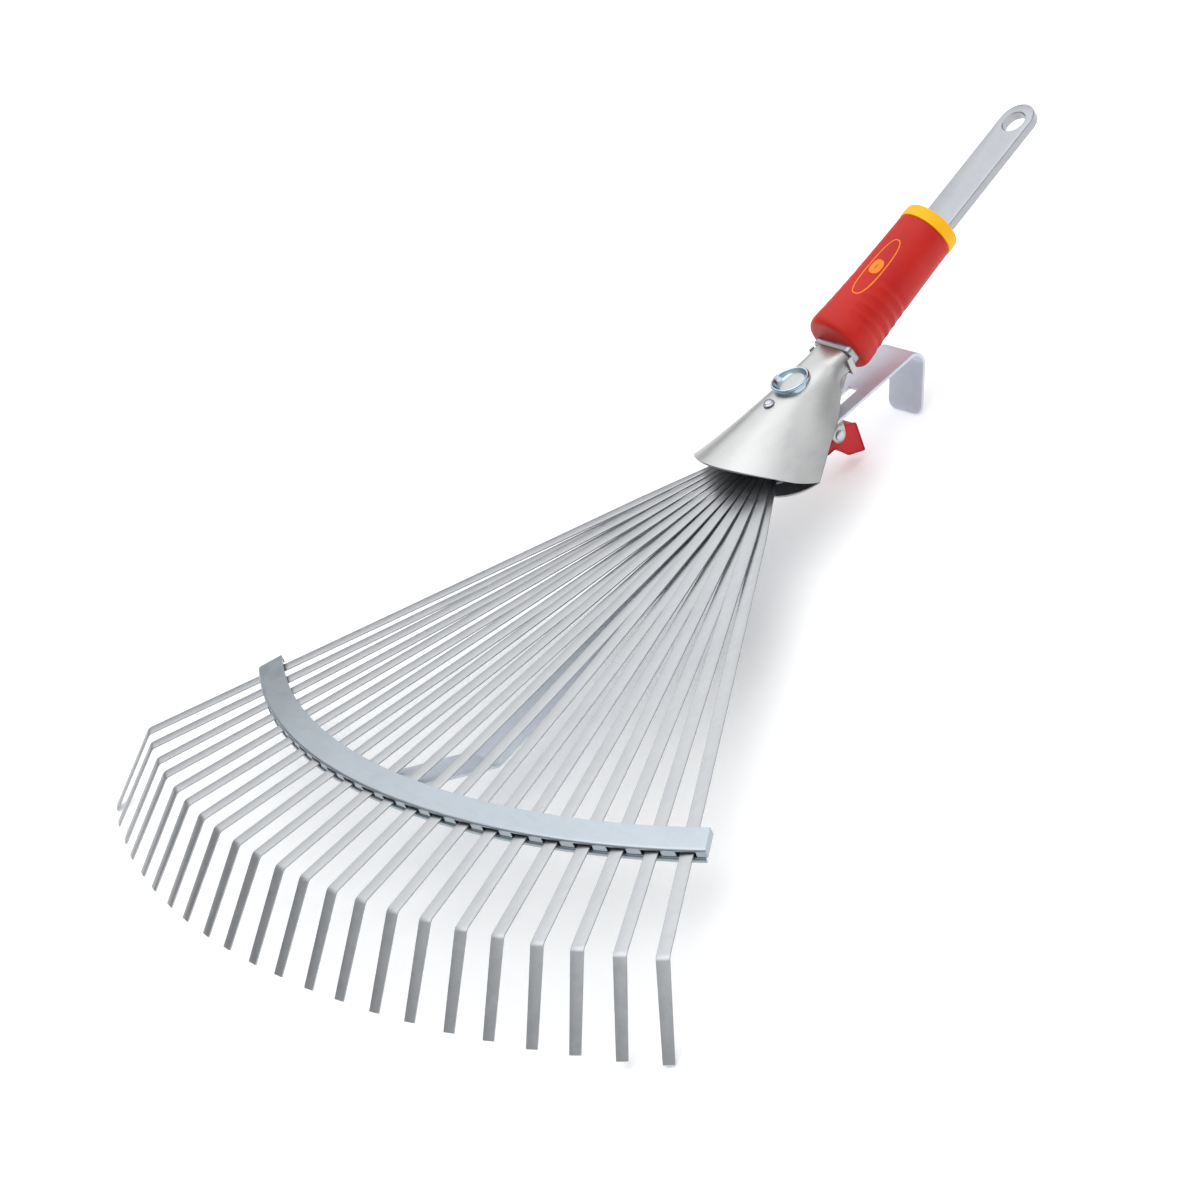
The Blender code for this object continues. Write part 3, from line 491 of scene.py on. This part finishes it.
def arc_path(points, radius, steps):
    """Path through these points with each inner corner rounded to this radius."""
    path = [points[0]]
    for before, corner, after in zip(points, points[1:], points[2:]):
        back = (before - corner).normalized()
        ahead = (after - corner).normalized()
        half = back.angle(ahead) / 2
        centre = corner + (back + ahead).normalized() * (radius / math.sin(half))
        start = corner + back * (radius / math.tan(half)) - centre
        finish = corner + ahead * (radius / math.tan(half)) - centre
        sweep = start.rotation_difference(finish)
        for i in range(steps + 1):
            part = sweep.copy()
            part.angle = sweep.angle * i / steps
            path.append(centre + part @ start)
    path.append(points[-1])
    return path


def lengths(path):
    """Distance along the path at each of its points."""
    total = [0.0]
    for a, b in zip(path, path[1:]):
        total.append(total[-1] + (b - a).length)
    return total


def section(half_width, half_height, radius, steps=ROUND_SECTION_STEPS):
    """Rounded rectangle, as (across, up) pairs."""
    most = 0.98
    radius = min(radius, half_width * most, half_height * most)
    points = []
    for quadrant, (sx, sz) in enumerate(((1, 1), (-1, 1), (-1, -1), (1, -1))):
        for i in range(steps + 1):
            turn = math.pi / 2 * (quadrant + i / steps)
            across = sx * (half_width - radius) + radius * math.cos(turn)
            up = sz * (half_height - radius) + radius * math.sin(turn)
            points.append((across, up))
    return points


def swept_strip(path, half_widths, thickness, radius):
    """Strip along a path in the YZ plane with rounded long edges."""
    rings = []
    count = len(path)
    for i, point in enumerate(path):
        before = (point - path[i - 1]).normalized() if i else (path[1] - point).normalized()
        after = (path[i + 1] - point).normalized() if i + 1 < count else before
        along = (before + after).normalized()
        normal = Vector((0, -along.z, along.y)) / along.dot(after)
        rings.append([
            point + Vector((across, 0, 0)) + normal * up
            for across, up in section(half_widths[i], thickness / 2, radius)
        ])
    bm = bmesh.new()
    loft(bm, rings)
    return bm


def ring(radius, along, count):
    turns = [math.tau * i / count for i in range(count)]
    return [Vector((radius * math.cos(turn), along, radius * math.sin(turn))) for turn in turns]


def smooth_profile(points, steps):
    """Passes a smooth curve through (radius, along) pairs."""
    curve = []
    for i in range(len(points) - 1):
        p0 = Vector(points[max(i - 1, 0)])
        p1, p2 = Vector(points[i]), Vector(points[i + 1])
        p3 = Vector(points[min(i + 2, len(points) - 1)])
        for k in range(steps):
            t = k / steps
            slope = (p2 - p0) * t
            bow = (2 * p0 - 5 * p1 + 4 * p2 - p3) * t * t
            twist = (3 * p1 - p0 - 3 * p2 + p3) * t ** 3
            curve.append(0.5 * (2 * p1 + slope + bow + twist))
    curve.append(Vector(points[-1]))
    return curve


# Places in the head's frame


def tine_offset(index):
    return index - (TINE_COUNT - 1) / 2


def root_layer(index):
    """1 for a tine in the upper root layer, -1 for one in the lower."""
    return 1 if index % 2 == 0 else -1


def crown(x):
    return -CROWN * x * x


def tine_place(index):
    """Place of a tine: its root at the origin, running towards -Y, tipped to meet its window in the bar."""
    turn = tine_offset(index) * WINDOW_PITCH / BAR_MIDDLE
    x = BAR_MIDDLE * math.sin(turn)
    window = Vector((x, BAR_CENTRE_Y - BAR_MIDDLE * math.cos(turn), crown(x)))
    pivot = Vector((window.x, window.y, 0)).normalized() * PIVOT_RADIUS
    pivot.z = root_layer(index) * LAYER_PITCH / 2
    along = (window - pivot).normalized()
    axis = Vector((-math.copysign(1, x) * crown(x), 0, abs(window.x - pivot.x)))
    axis = (axis - along * axis.dot(along)).normalized()
    lateral = (-along).cross(axis)
    return Matrix.Translation(pivot) @ Matrix((lateral, -along, axis)).transposed().to_4x4()


def tang_place(distance, rise=0.0):
    """Place on the tang's outer part, this far along it from its bend."""
    place = Matrix.Translation(TANG_BEND) @ Matrix.Rotation(TANG_SLOPE, 4, "X")
    return place @ Matrix.Translation((0, distance, rise))


def half_width_at(y):
    left = max(1 - (y - MOUTH_Y) / (NECK_Y - MOUTH_Y), 0)
    return NECK_HALF + (MOUTH_HALF - NECK_HALF) * left ** FLANK_POWER


def seam_at(y):
    """Height of the side seam: nearly level from the mouth, then a smooth rise to the neck."""
    if y < SEAM_MIDDLE_Y:
        t = (y - MOUTH_Y) / (SEAM_MIDDLE_Y - MOUTH_Y)
        return SEAM_MOUTH_Z + (SEAM_MIDDLE_Z - SEAM_MOUTH_Z) * t
    t = min((y - SEAM_MIDDLE_Y) / (NECK_Y - SEAM_MIDDLE_Y), 1)
    return SEAM_MIDDLE_Z + (SEAM_NECK_Z - SEAM_MIDDLE_Z) * t * t * (3 - 2 * t)


def top_surface(a, edge_y, inset=0.0):
    """Top shell. a is -1 to 1 across it, and edge_y is where the row meets the side seam."""
    v = (edge_y - SEAM_START_Y) / (TOP_REAR_Y - SEAM_START_Y)
    corner = max(abs(a) - LIP_CORNER, 0) / (1 - LIP_CORNER)
    lip_y = MOUTH_Y - LIP_REACH * (1 - a * a) + (SEAM_START_Y - MOUTH_Y) * corner ** 2
    y = lip_y + (TOP_REAR_Y - lip_y) * v
    seam = seam_at(edge_y) + FIT / 2
    ridge = RIDGE_NECK_Z - RIDGE_DROP * (1 - v) ** 2
    squareness = ARCH_POWER + 1.4 * v ** 2 + 4 * v ** 6
    rise = (ridge - inset - seam) * (1 - abs(a) ** squareness)
    return Vector((a * (half_width_at(edge_y) - inset), y, seam + rise))


def belly_at(y):
    end = seam_at(BACK_REAR_Y)
    t = max(y - BELLY_END_Y, 0) / (BACK_REAR_Y - BELLY_END_Y)
    return end - (end - BELLY_Z) * math.sqrt(max(1 - t * t, 0))


def back_surface(a, edge_y, inset=0.0):
    """Back shell: a bowl below the seam that closes up to the neck."""
    v = (edge_y - SEAM_START_Y) / (BACK_REAR_Y - SEAM_START_Y)
    lip_y = SEAM_START_Y - BACK_LIP_REACH * (1 - a * a)
    y = lip_y + (BACK_REAR_Y - lip_y) * v
    wall = max((edge_y - NECK_Y) / (BACK_REAR_Y - NECK_Y), 0)
    seam = seam_at(edge_y) - FIT / 2
    drop = max(seam - belly_at(edge_y) - inset * (1 - wall), 0) * (1 - abs(a) ** BELLY_POWER)
    return Vector((a * (half_width_at(edge_y) - inset), y - inset * wall, seam - drop))


# Pieces


def sheet_mesh(outer, inner, filled=None):
    """Thick sheet between two equal grids of points, with faces along its outline and round each opening."""
    bm = bmesh.new()
    out = [[bm.verts.new(point) for point in row] for row in outer]
    back = [[bm.verts.new(point) for point in row] for row in inner]
    rows, columns = len(out) - 1, len(out[0]) - 1

    def solid(i, j):
        return 0 <= i < rows and 0 <= j < columns and (filled is None or filled(i, j))

    for i in range(rows):
        for j in range(columns):
            if not solid(i, j):
                continue
            corners = ((i, j), (i, j + 1), (i + 1, j + 1), (i + 1, j))
            bm.faces.new([out[a][b] for a, b in corners])
            bm.faces.new([back[a][b] for a, b in reversed(corners)])
            for k, beside in enumerate(((i - 1, j), (i, j + 1), (i + 1, j), (i, j - 1))):
                if solid(*beside):
                    continue
                (a, b), (c, d) = corners[k], corners[(k + 1) % 4]
                bm.faces.new((out[a][b], back[a][b], back[c][d], out[c][d]))
    loose = [vertex for vertex in bm.verts if not vertex.link_faces]
    bmesh.ops.delete(bm, geom=loose, context="VERTS")
    return bm


def shell_mesh(surface, across, along, thickness):
    outer = [[surface(a, y) for a in across] for y in along]
    inner = [[surface(a, y, thickness) for a in across] for y in along]
    return sheet_mesh(outer, inner)


def make_hood():
    half, rows = 30, 40
    across = [math.sin(math.pi / 2 * (j / half - 1)) for j in range(2 * half + 1)]
    length = BACK_REAR_Y - SEAM_START_Y
    along = [SEAM_START_Y + length * math.sin(math.pi / 2 * i / rows) for i in range(rows + 1)]
    top_along = along + [51.5 * MM, 52.8 * MM, TOP_REAR_Y]
    bm = shell_mesh(top_surface, across, top_along, TOP_SHEET)
    piece("hood_top_skin", bm, "sheet", "head", ["hood_top"], sharp=50, bevel=HOOD_EDGE)
    exit_half = STRAP_WIDTH / 2 + EXIT_SLOT_MARGIN
    exit_low = (-exit_half, EXIT_SLOT_START_Y, STRAP_LEVEL - STRAP_THICKNESS)
    exit_high = (exit_half, EXIT_SLOT_END_Y, STRAP_LEVEL + STRAP_THICKNESS)
    exit_slot = block(exit_low, exit_high)
    cam_window = block(CAM_WINDOW_LOW, CAM_WINDOW_HIGH)
    hub = spool(HUB_HOLE_RADIUS, 4 * MM, 0.1 * MM, Matrix.Translation((0, HUB_Y, -16 * MM)))
    bm = carved(shell_mesh(back_surface, across, along, BACK_SHEET), exit_slot, cam_window, hub)
    piece("hood_back_skin", bm, "sheet", "head", ["hood_back"], sharp=40)


def tine_half_width(distance, straight):
    """Half of a tine's width this far from its pivot, for a tine that runs straight this far."""
    tab_end = 0.5 * MM
    if distance < tab_end:
        return TAB_WIDTH / 2
    if distance < TAPER_LENGTH:
        return (ROOT_WIDTH + (TINE_WIDTH - ROOT_WIDTH) * distance / TAPER_LENGTH) / 2
    past = min(max(distance - straight, 0) / LEG_LENGTH, 1)
    return (TINE_WIDTH + (TIP_WIDTH - TINE_WIDTH) * past) / 2


def make_tines():
    for index in range(TINE_COUNT):
        outward = tine_offset(index) / tine_offset(TINE_COUNT - 1)
        straight = BEND_DISTANCE + OUTER_EXTRA * outward ** 2
        corner = Vector((0, -straight, 0))
        leg = Vector((0, -math.cos(BEND_ANGLE), -math.sin(BEND_ANGLE))) * LEG_LENGTH
        run = arc_path([Vector((0, 0, 0)), corner, corner + leg], BEND_RADIUS, 12)
        neck = [Vector((0, -y, 0)) for y in (1.5 * MM, 3 * MM, TAPER_LENGTH)]
        path = [Vector((0, 0, root_layer(index) * TAB_HEIGHT)), run[0], *neck, *run[1:]]
        widths = [tine_half_width(total - TAB_HEIGHT, straight) for total in lengths(path)]
        last = (path[-1] - path[-2]).normalized()
        path.insert(-1, path[-1] - last * TINE_EASE)
        widths.append(widths[-1] - TINE_EASE)
        bm = swept_strip(path, widths, TINE_THICKNESS, TINE_EASE)
        name = f"tine_{index + 1:02d}"
        body = f"spring_{index + 1:02d}"
        piece(name + "_skin", bm, "spring", body, [name], tine_place(index), sharp=50)


def make_sleeve():
    """Tapered sleeve with a pillow end and finger ripples on its two flanks. Sizes are in millimetres."""
    points = (
        (12.6, 0.0), (17.2, 0.05), (19.2, 0.7), (20.5, 2.2), (21.1, 4.8), (20.95, 9), (20, 24), (19, 45),
        (18.3, 68), (17.95, 84), (17.85, 88.8), (17.4, 89.8), (16.6, 90),
    )
    sides = 128
    flank_turn, flank_edge = 0.25, 0.72
    ripple_depth, ripple_pitch, ripple_start = 1.5, 7.2, 11
    ripples_middle, ripples_reach = 29, 19
    rings = []
    for radius, along in smooth_profile(points, 20):
        window = max(1 - ((along - ripples_middle) / ripples_reach) ** 4, 0)
        wave = 0.5 - 0.5 * math.cos(math.tau * (along - ripple_start) / ripple_pitch)
        circle = []
        for i in range(sides):
            turn = math.tau * i / sides
            flank = max(abs(math.cos(turn - flank_turn)), abs(math.cos(turn + flank_turn)))
            grip = max(flank - flank_edge, 0) / (1 - flank_edge)
            r = (radius - ripple_depth * grip ** 0.6 * window * wave) * MM
            circle.append(Vector((r * math.cos(turn), along * MM, r * math.sin(turn))))
        rings.append(circle)
    bm = bmesh.new()
    loft(bm, rings)
    place = tang_place(SLEEVE_START, SLEEVE_RISE)
    piece("sleeve_skin", bm, "red", "head", ["sleeve"], place, sharp=60)
    make_mark(place)


def on_sleeve(along, turn, lift):
    """Point on the sleeve's smooth part, in millimetres along it and raised by lift millimetres."""
    wide, narrow = 20, 18.1
    taper = min(max(along - 24, 0) / 52, 1) ** 0.85
    radius = (wide + (narrow - wide) * taper + lift) * MM
    return Vector((radius * math.cos(turn), along * MM, radius * math.sin(turn)))


def make_mark(place):
    """Plain raised oval on the sleeve with a plain disc in its middle. Sizes are in millimetres."""
    bm = bmesh.new()
    middle, centre_turn = 49.0, math.radians(74)
    sleeve_radius = 18.7
    sunk, proud, slope = -0.3, 0.14, 0.15

    def rounded(value):
        return abs(value) ** 0.8 * math.copysign(1, value)

    def band(length, width, thick, count):
        rings = []
        for i in range(count):
            turn = math.tau * i / count
            corners = []
            for lift, shrink in ((sunk, 0), (proud, slope), (proud, thick - slope), (sunk, thick)):
                u = (length / 2 - shrink) * rounded(math.cos(turn))
                v = (width / 2 - shrink) * rounded(math.sin(turn))
                corners.append(on_sleeve(middle + u, centre_turn + v / sleeve_radius, lift))
            rings.append(corners)
        loft(bm, rings, closed=True)

    band(45, 11.5, 1.0, 96)
    band(11, 7.5, 3.6, 48)
    piece("sleeve_mark", bm, "mark", "head", [], place, sharp=60)


def turned_piece(name, profile, count, finish, nodes, place, steps=4):
    """Piece of the head turned about the place's Z axis, from (radius, along) pairs in millimetres."""
    bm = bmesh.new()
    loft(bm, [ring(radius * MM, along * MM, count) for radius, along in smooth_profile(profile, steps)])
    upright = Matrix.Rotation(math.pi / 2, 4, "X")
    piece(name, bm, finish, "head", nodes, place @ upright, sharp=60)


def make_collar():
    points = (
        (17.3, 0.0), (17.9, 0.1), (18.25, 0.5), (18.3, 1.5), (18.25, 5), (18.1, 7.0), (17.6, 8.1),
        (16.6, 8.5),
    )
    bm = bmesh.new()
    loft(bm, [ring(radius * MM, along * MM, 96) for radius, along in smooth_profile(points, 4)])
    place = tang_place(COLLAR_START, SLEEVE_RISE)
    piece("collar_skin", bm, "yellow", "head", ["collar"], place, sharp=60)


def make_rivets():
    rest = 28.25
    cup = (
        (0.2, rest - 2.1), (3, rest - 2.05), (6, rest - 1.75), (8.2, rest - 0.9), (9.6, rest + 0.7),
        (10.4, rest + 1.9), (11.1, rest + 2.3), (11.8, rest + 2.15), (12.25, rest + 1.4), (12.2, rest + 0.5),
        (11.7, rest), (10.9, rest - 0.2), (10.8, rest - 1.5), (10.7, rest - 3.2), (10.2, rest - 3.4),
        (4, rest - 3.4),
    )
    at_hub = Matrix.Translation((0, HUB_Y, 0))
    turned_piece("cup_rivet_skin", cup, 96, "cup", ["cup_rivet"], at_hub)
    shank = ((3.4, rest - 3.2), (3.5, rest - 3.4), (3.5, -10), (3.5, -15.8), (3.2, -16.05))
    turned_piece("cup_rivet_shank", shank, 48, "rivet", [], at_hub, steps=1)
    head = 26.5
    front = (
        (2, -4.7), (2, head - 0.3), (3.3, head - 0.1), (3.6, head + 0.2), (3.3, head + 0.8),
        (2.4, head + 1.35), (1.2, head + 1.58), (0.2, head + 1.6),
    )
    at_front = Matrix.Translation((0, FRONT_RIVET_Y, 0))
    turned_piece("front_rivet_skin", front, 48, "rivet", ["front_rivet"], at_front)


def make_latch():
    """Lever about its pin: cam nose above, a small spur in front and the finger end below."""
    outline = [
        Vector(point) * MM
        for point in (
            (-11.5, -7.6), (-4.5, -7.6), (-1.5, -12.5), (2, -17.5), (14.6, -22.9), (16, -2.5), (7.5, 1.5),
            (4.8, 5.5), (2.8, 9.3), (1.2, 9.6), (-2.4, 8.2), (-4, 3.5), (-6, -1.5), (-11.5, -5.4),
        )
    ]
    bm = prism(filleted(outline, LATCH_CORNER), -LATCH_HALF_WIDTH, LATCH_HALF_WIDTH, LATCH_EDGE)
    place = Matrix.Translation(LATCH_PIVOT)
    piece("latch_lever_skin", bm, "latch", "lever", ["latch_lever"], place, sharp=50)


def make_tang():
    direction = Vector((0, math.cos(TANG_SLOPE), math.sin(TANG_SLOPE)))
    end = TANG_BEND + direction * TANG_LENGTH
    path = arc_path([TANG_INNER, TANG_BEND, end], TANG_BEND_RADIUS, 8)[:-1]
    half = TANG_WIDTH / 2
    widths = [half] * len(path)
    tip_steps, tip_half = 28, 0.6 * MM
    for i in range(tip_steps + 1):
        turn = math.pi / 2 * i / tip_steps
        path.append(end - direction * half * (1 - math.sin(turn)))
        widths.append(max(half * math.cos(turn), tip_half))
    bar = swept_strip(path, widths, TANG_THICKNESS, TANG_EDGE)
    hole_at = tang_place(TANG_LENGTH - TANG_HOLE_INSET)
    hole = spool(TANG_HOLE_RADIUS, TANG_THICKNESS / 2, 0.5 * MM, hole_at)
    piece("tang_skin", carved(bar, hole), "tang", "head", ["tang"], sharp=32)


def make_ferrule():
    bm = bmesh.new()
    ease, corner = 0.5 * MM, 3 * MM
    rings = []
    for along, inset in ((0, ease), (ease, 0), (FERRULE_LENGTH - ease, 0), (FERRULE_LENGTH, ease)):
        outline = section(FERRULE_WIDTH / 2 - inset, FERRULE_HEIGHT / 2 - inset, corner - inset, 6)
        rings.append([Vector((across, along, up)) for across, up in outline])
    loft(bm, rings)
    place = tang_place(FERRULE_START)
    piece("ferrule_skin", bm, "tang", "head", ["ferrule"], place, sharp=60)


def make_strap():
    """Strap from the foot under the spreader, up the knee, through the hood, to the finger tab."""
    foot = STRAP_FOOT_TOP - STRAP_THICKNESS / 2
    tab = Vector((0, math.cos(TAB_TURN), -math.sin(TAB_TURN))) * TAB_LENGTH
    hook = Vector((0, HOOK_Y, STRAP_LEVEL))
    corners = [
        Vector((0, FOOT_END_Y, foot)),
        Vector((0, FOOT_START_Y, foot)),
        KNEE,
        Vector((0, STRAP_BEND_Y, STRAP_LEVEL)),
        hook,
        hook + tab,
    ]
    path = arc_path(corners, STRAP_BEND_RADIUS, 14)
    finish = path.pop()
    half = STRAP_WIDTH / 2
    widths = [half] * len(path)
    path[0] = path[0] + Vector((0, FOOT_SET_BACK, 0))
    corner_steps = 12
    for i in range(corner_steps + 1):
        bend = math.pi / 2 * i / corner_steps
        path.append(finish - tab.normalized() * TAB_CORNER * (1 - math.sin(bend)))
        widths.append(half - TAB_CORNER * (1 - math.cos(bend)))
    strip = swept_strip(path, widths, STRAP_THICKNESS, STRAP_EDGE)
    reach = SLOT_HALF_WIDTH
    slot = block((-reach, HUB_Y - reach, -12 * MM), (reach, HUB_Y + STRAP_TRAVEL + reach, 0))
    bm = carved(strip, slot)
    piece("draw_strap_skin", bm, "strap", "slider", ["draw_strap"], sharp=32)


def bar_point(radius, turn, height):
    """Point at this radius and turn round the bar's arc, this high above its crowned middle plane."""
    x = radius * math.sin(turn)
    return Vector((x, BAR_CENTRE_Y - radius * math.cos(turn), crown(x) + height))


def bar_stations():
    """Turns along the bar's arc, and for each stretch between two of them whether the flange is whole."""
    last = tine_offset(TINE_COUNT - 1) * WINDOW_PITCH
    start = -last - BAR_END_MARGIN
    edges, whole = [start], []
    for index in range(TINE_COUNT):
        centre = tine_offset(index) * WINDOW_PITCH
        edges += [centre - WINDOW_WIDTH / 2, centre + WINDOW_WIDTH / 2]
        whole += [True, False]
    edges.append(-start)
    whole.append(True)
    places, flags = [edges[0]], []
    parts = 3
    for near, far, flag in zip(edges, edges[1:], whole):
        for k in range(1, parts + 1):
            places.append(near + (far - near) * k / parts)
            flags.append(flag)
    return [place / BAR_MIDDLE for place in places], flags


def folded_bar(rear, front, top, end, flags, turns):
    """Band along the arc with a flange folded down at its front edge, open wherever a flag is false."""
    fold = BAR_FOLD_RADIUS
    margin = 0.6 * MM
    rows, bend_steps = [], 6
    for offset in (0, BAR_SHEET):
        face = top - offset
        line = [(rear, face), (rear + margin, face), (front - fold - margin, face)]
        for i in range(bend_steps + 1):
            bend = math.pi / 2 * i / bend_steps
            r = fold - offset
            line.append((front - fold + r * math.sin(bend), top - fold + r * math.cos(bend)))
        line += [(front - offset, end + 0.5 * MM), (front - offset, end)]
        rows.append(line)
    outer, inner = ([[bar_point(r, turn, h) for r, h in line] for turn in turns] for line in rows)
    flange = len(rows[0]) - 3
    return sheet_mesh(outer, inner, lambda i, j: j < flange or flags[i])


def paint_shade_on_faces(obj, way):
    """Gives the faces that look up (way 1) or down (way -1) the dark finish: painted shade on the faces of
    the two bar sheets that look into the gap between them.
    """
    steepest = 0.6
    obj.data.materials.append(finishes["painted_shade"])
    for face in obj.data.polygons:
        if face.normal.z * way > steepest:
            face.material_index = 1


def make_spreader():
    turns, flags = bar_stations()
    rear = BAR_REAR_RADIUS
    front = BAR_REAR_RADIUS + BAR_DEPTH
    bm = folded_bar(rear, front, BAR_TOP_Z, BAR_TOOTH_END_Z, flags, turns)
    wall = BAR_SHEET / BAR_MIDDLE
    inner = front - BAR_SHEET - BAR_END_GAP
    for near, far in ((turns[0], turns[0] + wall), (turns[-1] - wall, turns[-1])):
        outline = ((rear, near), (inner, near), (inner, far), (rear, far))
        heights = (BAR_TOOTH_END_Z, BAR_UNDERSIDE_Z)
        loft(bm, [[bar_point(r, turn, height) for r, turn in outline] for height in heights])
    nodes = ["spreader_top"]
    top = piece("spreader_top_skin", bm, "bar", "slider", nodes, sharp=40, bevel=BAR_EDGE)
    # Painted shade: the top sheet's downward faces get the dark finish
    paint_shade_on_faces(top, -1)
    whole = [True] * len(flags)
    lower_turns = [turn * LOWER_BAR_SPAN for turn in turns]
    bm = folded_bar(rear + BAR_LIP, front + BAR_LIP, BAR_FLOOR_Z, BAR_BOTTOM_Z, whole, lower_turns)
    nodes = ["spreader_bottom"]
    bottom = piece("spreader_bottom_skin", bm, "bar", "slider", nodes, sharp=40, bevel=BAR_EDGE)
    # Painted shade: the lower sheet's upward faces get the dark finish
    paint_shade_on_faces(bottom, 1)


def make_plain_pieces():
    for node in ("neck_band", "latch_cheek_left", "latch_cheek_right"):
        plain_copy(node, "sheet", "head")
    # The root plates and pack spacer sit in the hood's mouth; their dark finish is painted shade
    for node in ("root_plate_upper", "root_plate_lower", "pack_spacer"):
        plain_copy(node, "painted_shade", "head")
    for node in ("hub_spacer", "front_spacer", "latch_pin"):
        plain_copy(node, "rivet", "head")
    for node in ("foot_rivet_left", "foot_rivet_right"):
        plain_copy(node, "rivet", "slider")


# Stage

LIGHT_TARGET = Vector((0, 0, 0.05))
FLOOR_HALF = 12


def add_light(name, at, size, power):
    """Soft white panel that faces the middle of the head."""
    data = bpy.data.lights.new(name, "AREA")
    data.shape = "RECTANGLE"
    data.size, data.size_y = size
    data.energy = power
    obj = bpy.data.objects.new(name, data)
    bpy.context.scene.collection.objects.link(obj)
    obj.location = at
    obj.rotation_euler = (LIGHT_TARGET - Vector(at)).to_track_quat("-Z", "Y").to_euler()


def make_stage():
    bm = bmesh.new()
    bmesh.ops.create_grid(bm, x_segments=2, y_segments=2, size=FLOOR_HALF)
    mesh = bpy.data.meshes.new("floor")
    bm.to_mesh(mesh)
    bm.free()
    mesh.materials.append(finishes["floor"])
    floor = bpy.data.objects.new("floor", mesh)
    bpy.context.scene.collection.objects.link(floor)
    add_light("key", at=(0.1, 0.0, 2.8), size=(3.4, 3.4), power=47)
    add_light("side", at=(-2.4, 1.1, 1.9), size=(2.6, 2.2), power=16)
    add_light("fill", at=(1.6, 1.9, 1.5), size=(1.6, 1.4), power=6)
    make_world()
    bpy.context.scene.view_settings.view_transform = "Standard"


def make_world():
    """Even studio surround, darker at the horizon so that the metal has something to show."""
    world = bpy.data.worlds.new("studio")
    world.use_nodes = True
    nodes, links = world.node_tree.nodes, world.node_tree.links
    direction = nodes.new("ShaderNodeTexCoord")
    height = nodes.new("ShaderNodeSeparateXYZ")
    level = nodes.new("ShaderNodeMapRange")
    level.inputs["From Min"].default_value = 0.1
    level.inputs["From Max"].default_value = 0.85
    level.inputs["To Min"].default_value = 0.20
    level.inputs["To Max"].default_value = 0.86
    links.new(direction.outputs["Generated"], height.inputs[0])
    links.new(height.outputs["Z"], level.inputs["Value"])
    links.new(level.outputs["Result"], nodes["Background"].inputs["Strength"])
    nodes["Background"].inputs["Color"].default_value = (0.96, 0.98, 1.0, 1)
    bpy.context.scene.world = world


def make_camera():
    data = bpy.data.cameras.new("camera")
    data.lens = CAMERA_LENS
    data.sensor_width = CAMERA_SENSOR
    data.clip_end = CAMERA_FAR
    camera = bpy.data.objects.new("camera", data)
    bpy.context.scene.collection.objects.link(camera)
    right = CAMERA_RIGHT.normalized()
    back = (CAMERA_BACK - right * CAMERA_BACK.dot(right)).normalized()
    basis = Matrix((right, back.cross(right), back)).transposed()
    camera.matrix_world = Matrix.Translation(CAMERA_AT) @ basis.to_4x4()
    bpy.context.scene.camera = camera


make_hood()
make_tines()
make_sleeve()
make_collar()
make_rivets()
make_latch()
make_tang()
make_ferrule()
make_strap()
make_spreader()
make_plain_pieces()
make_stage()
make_camera()

bpy.context.view_layer.update()
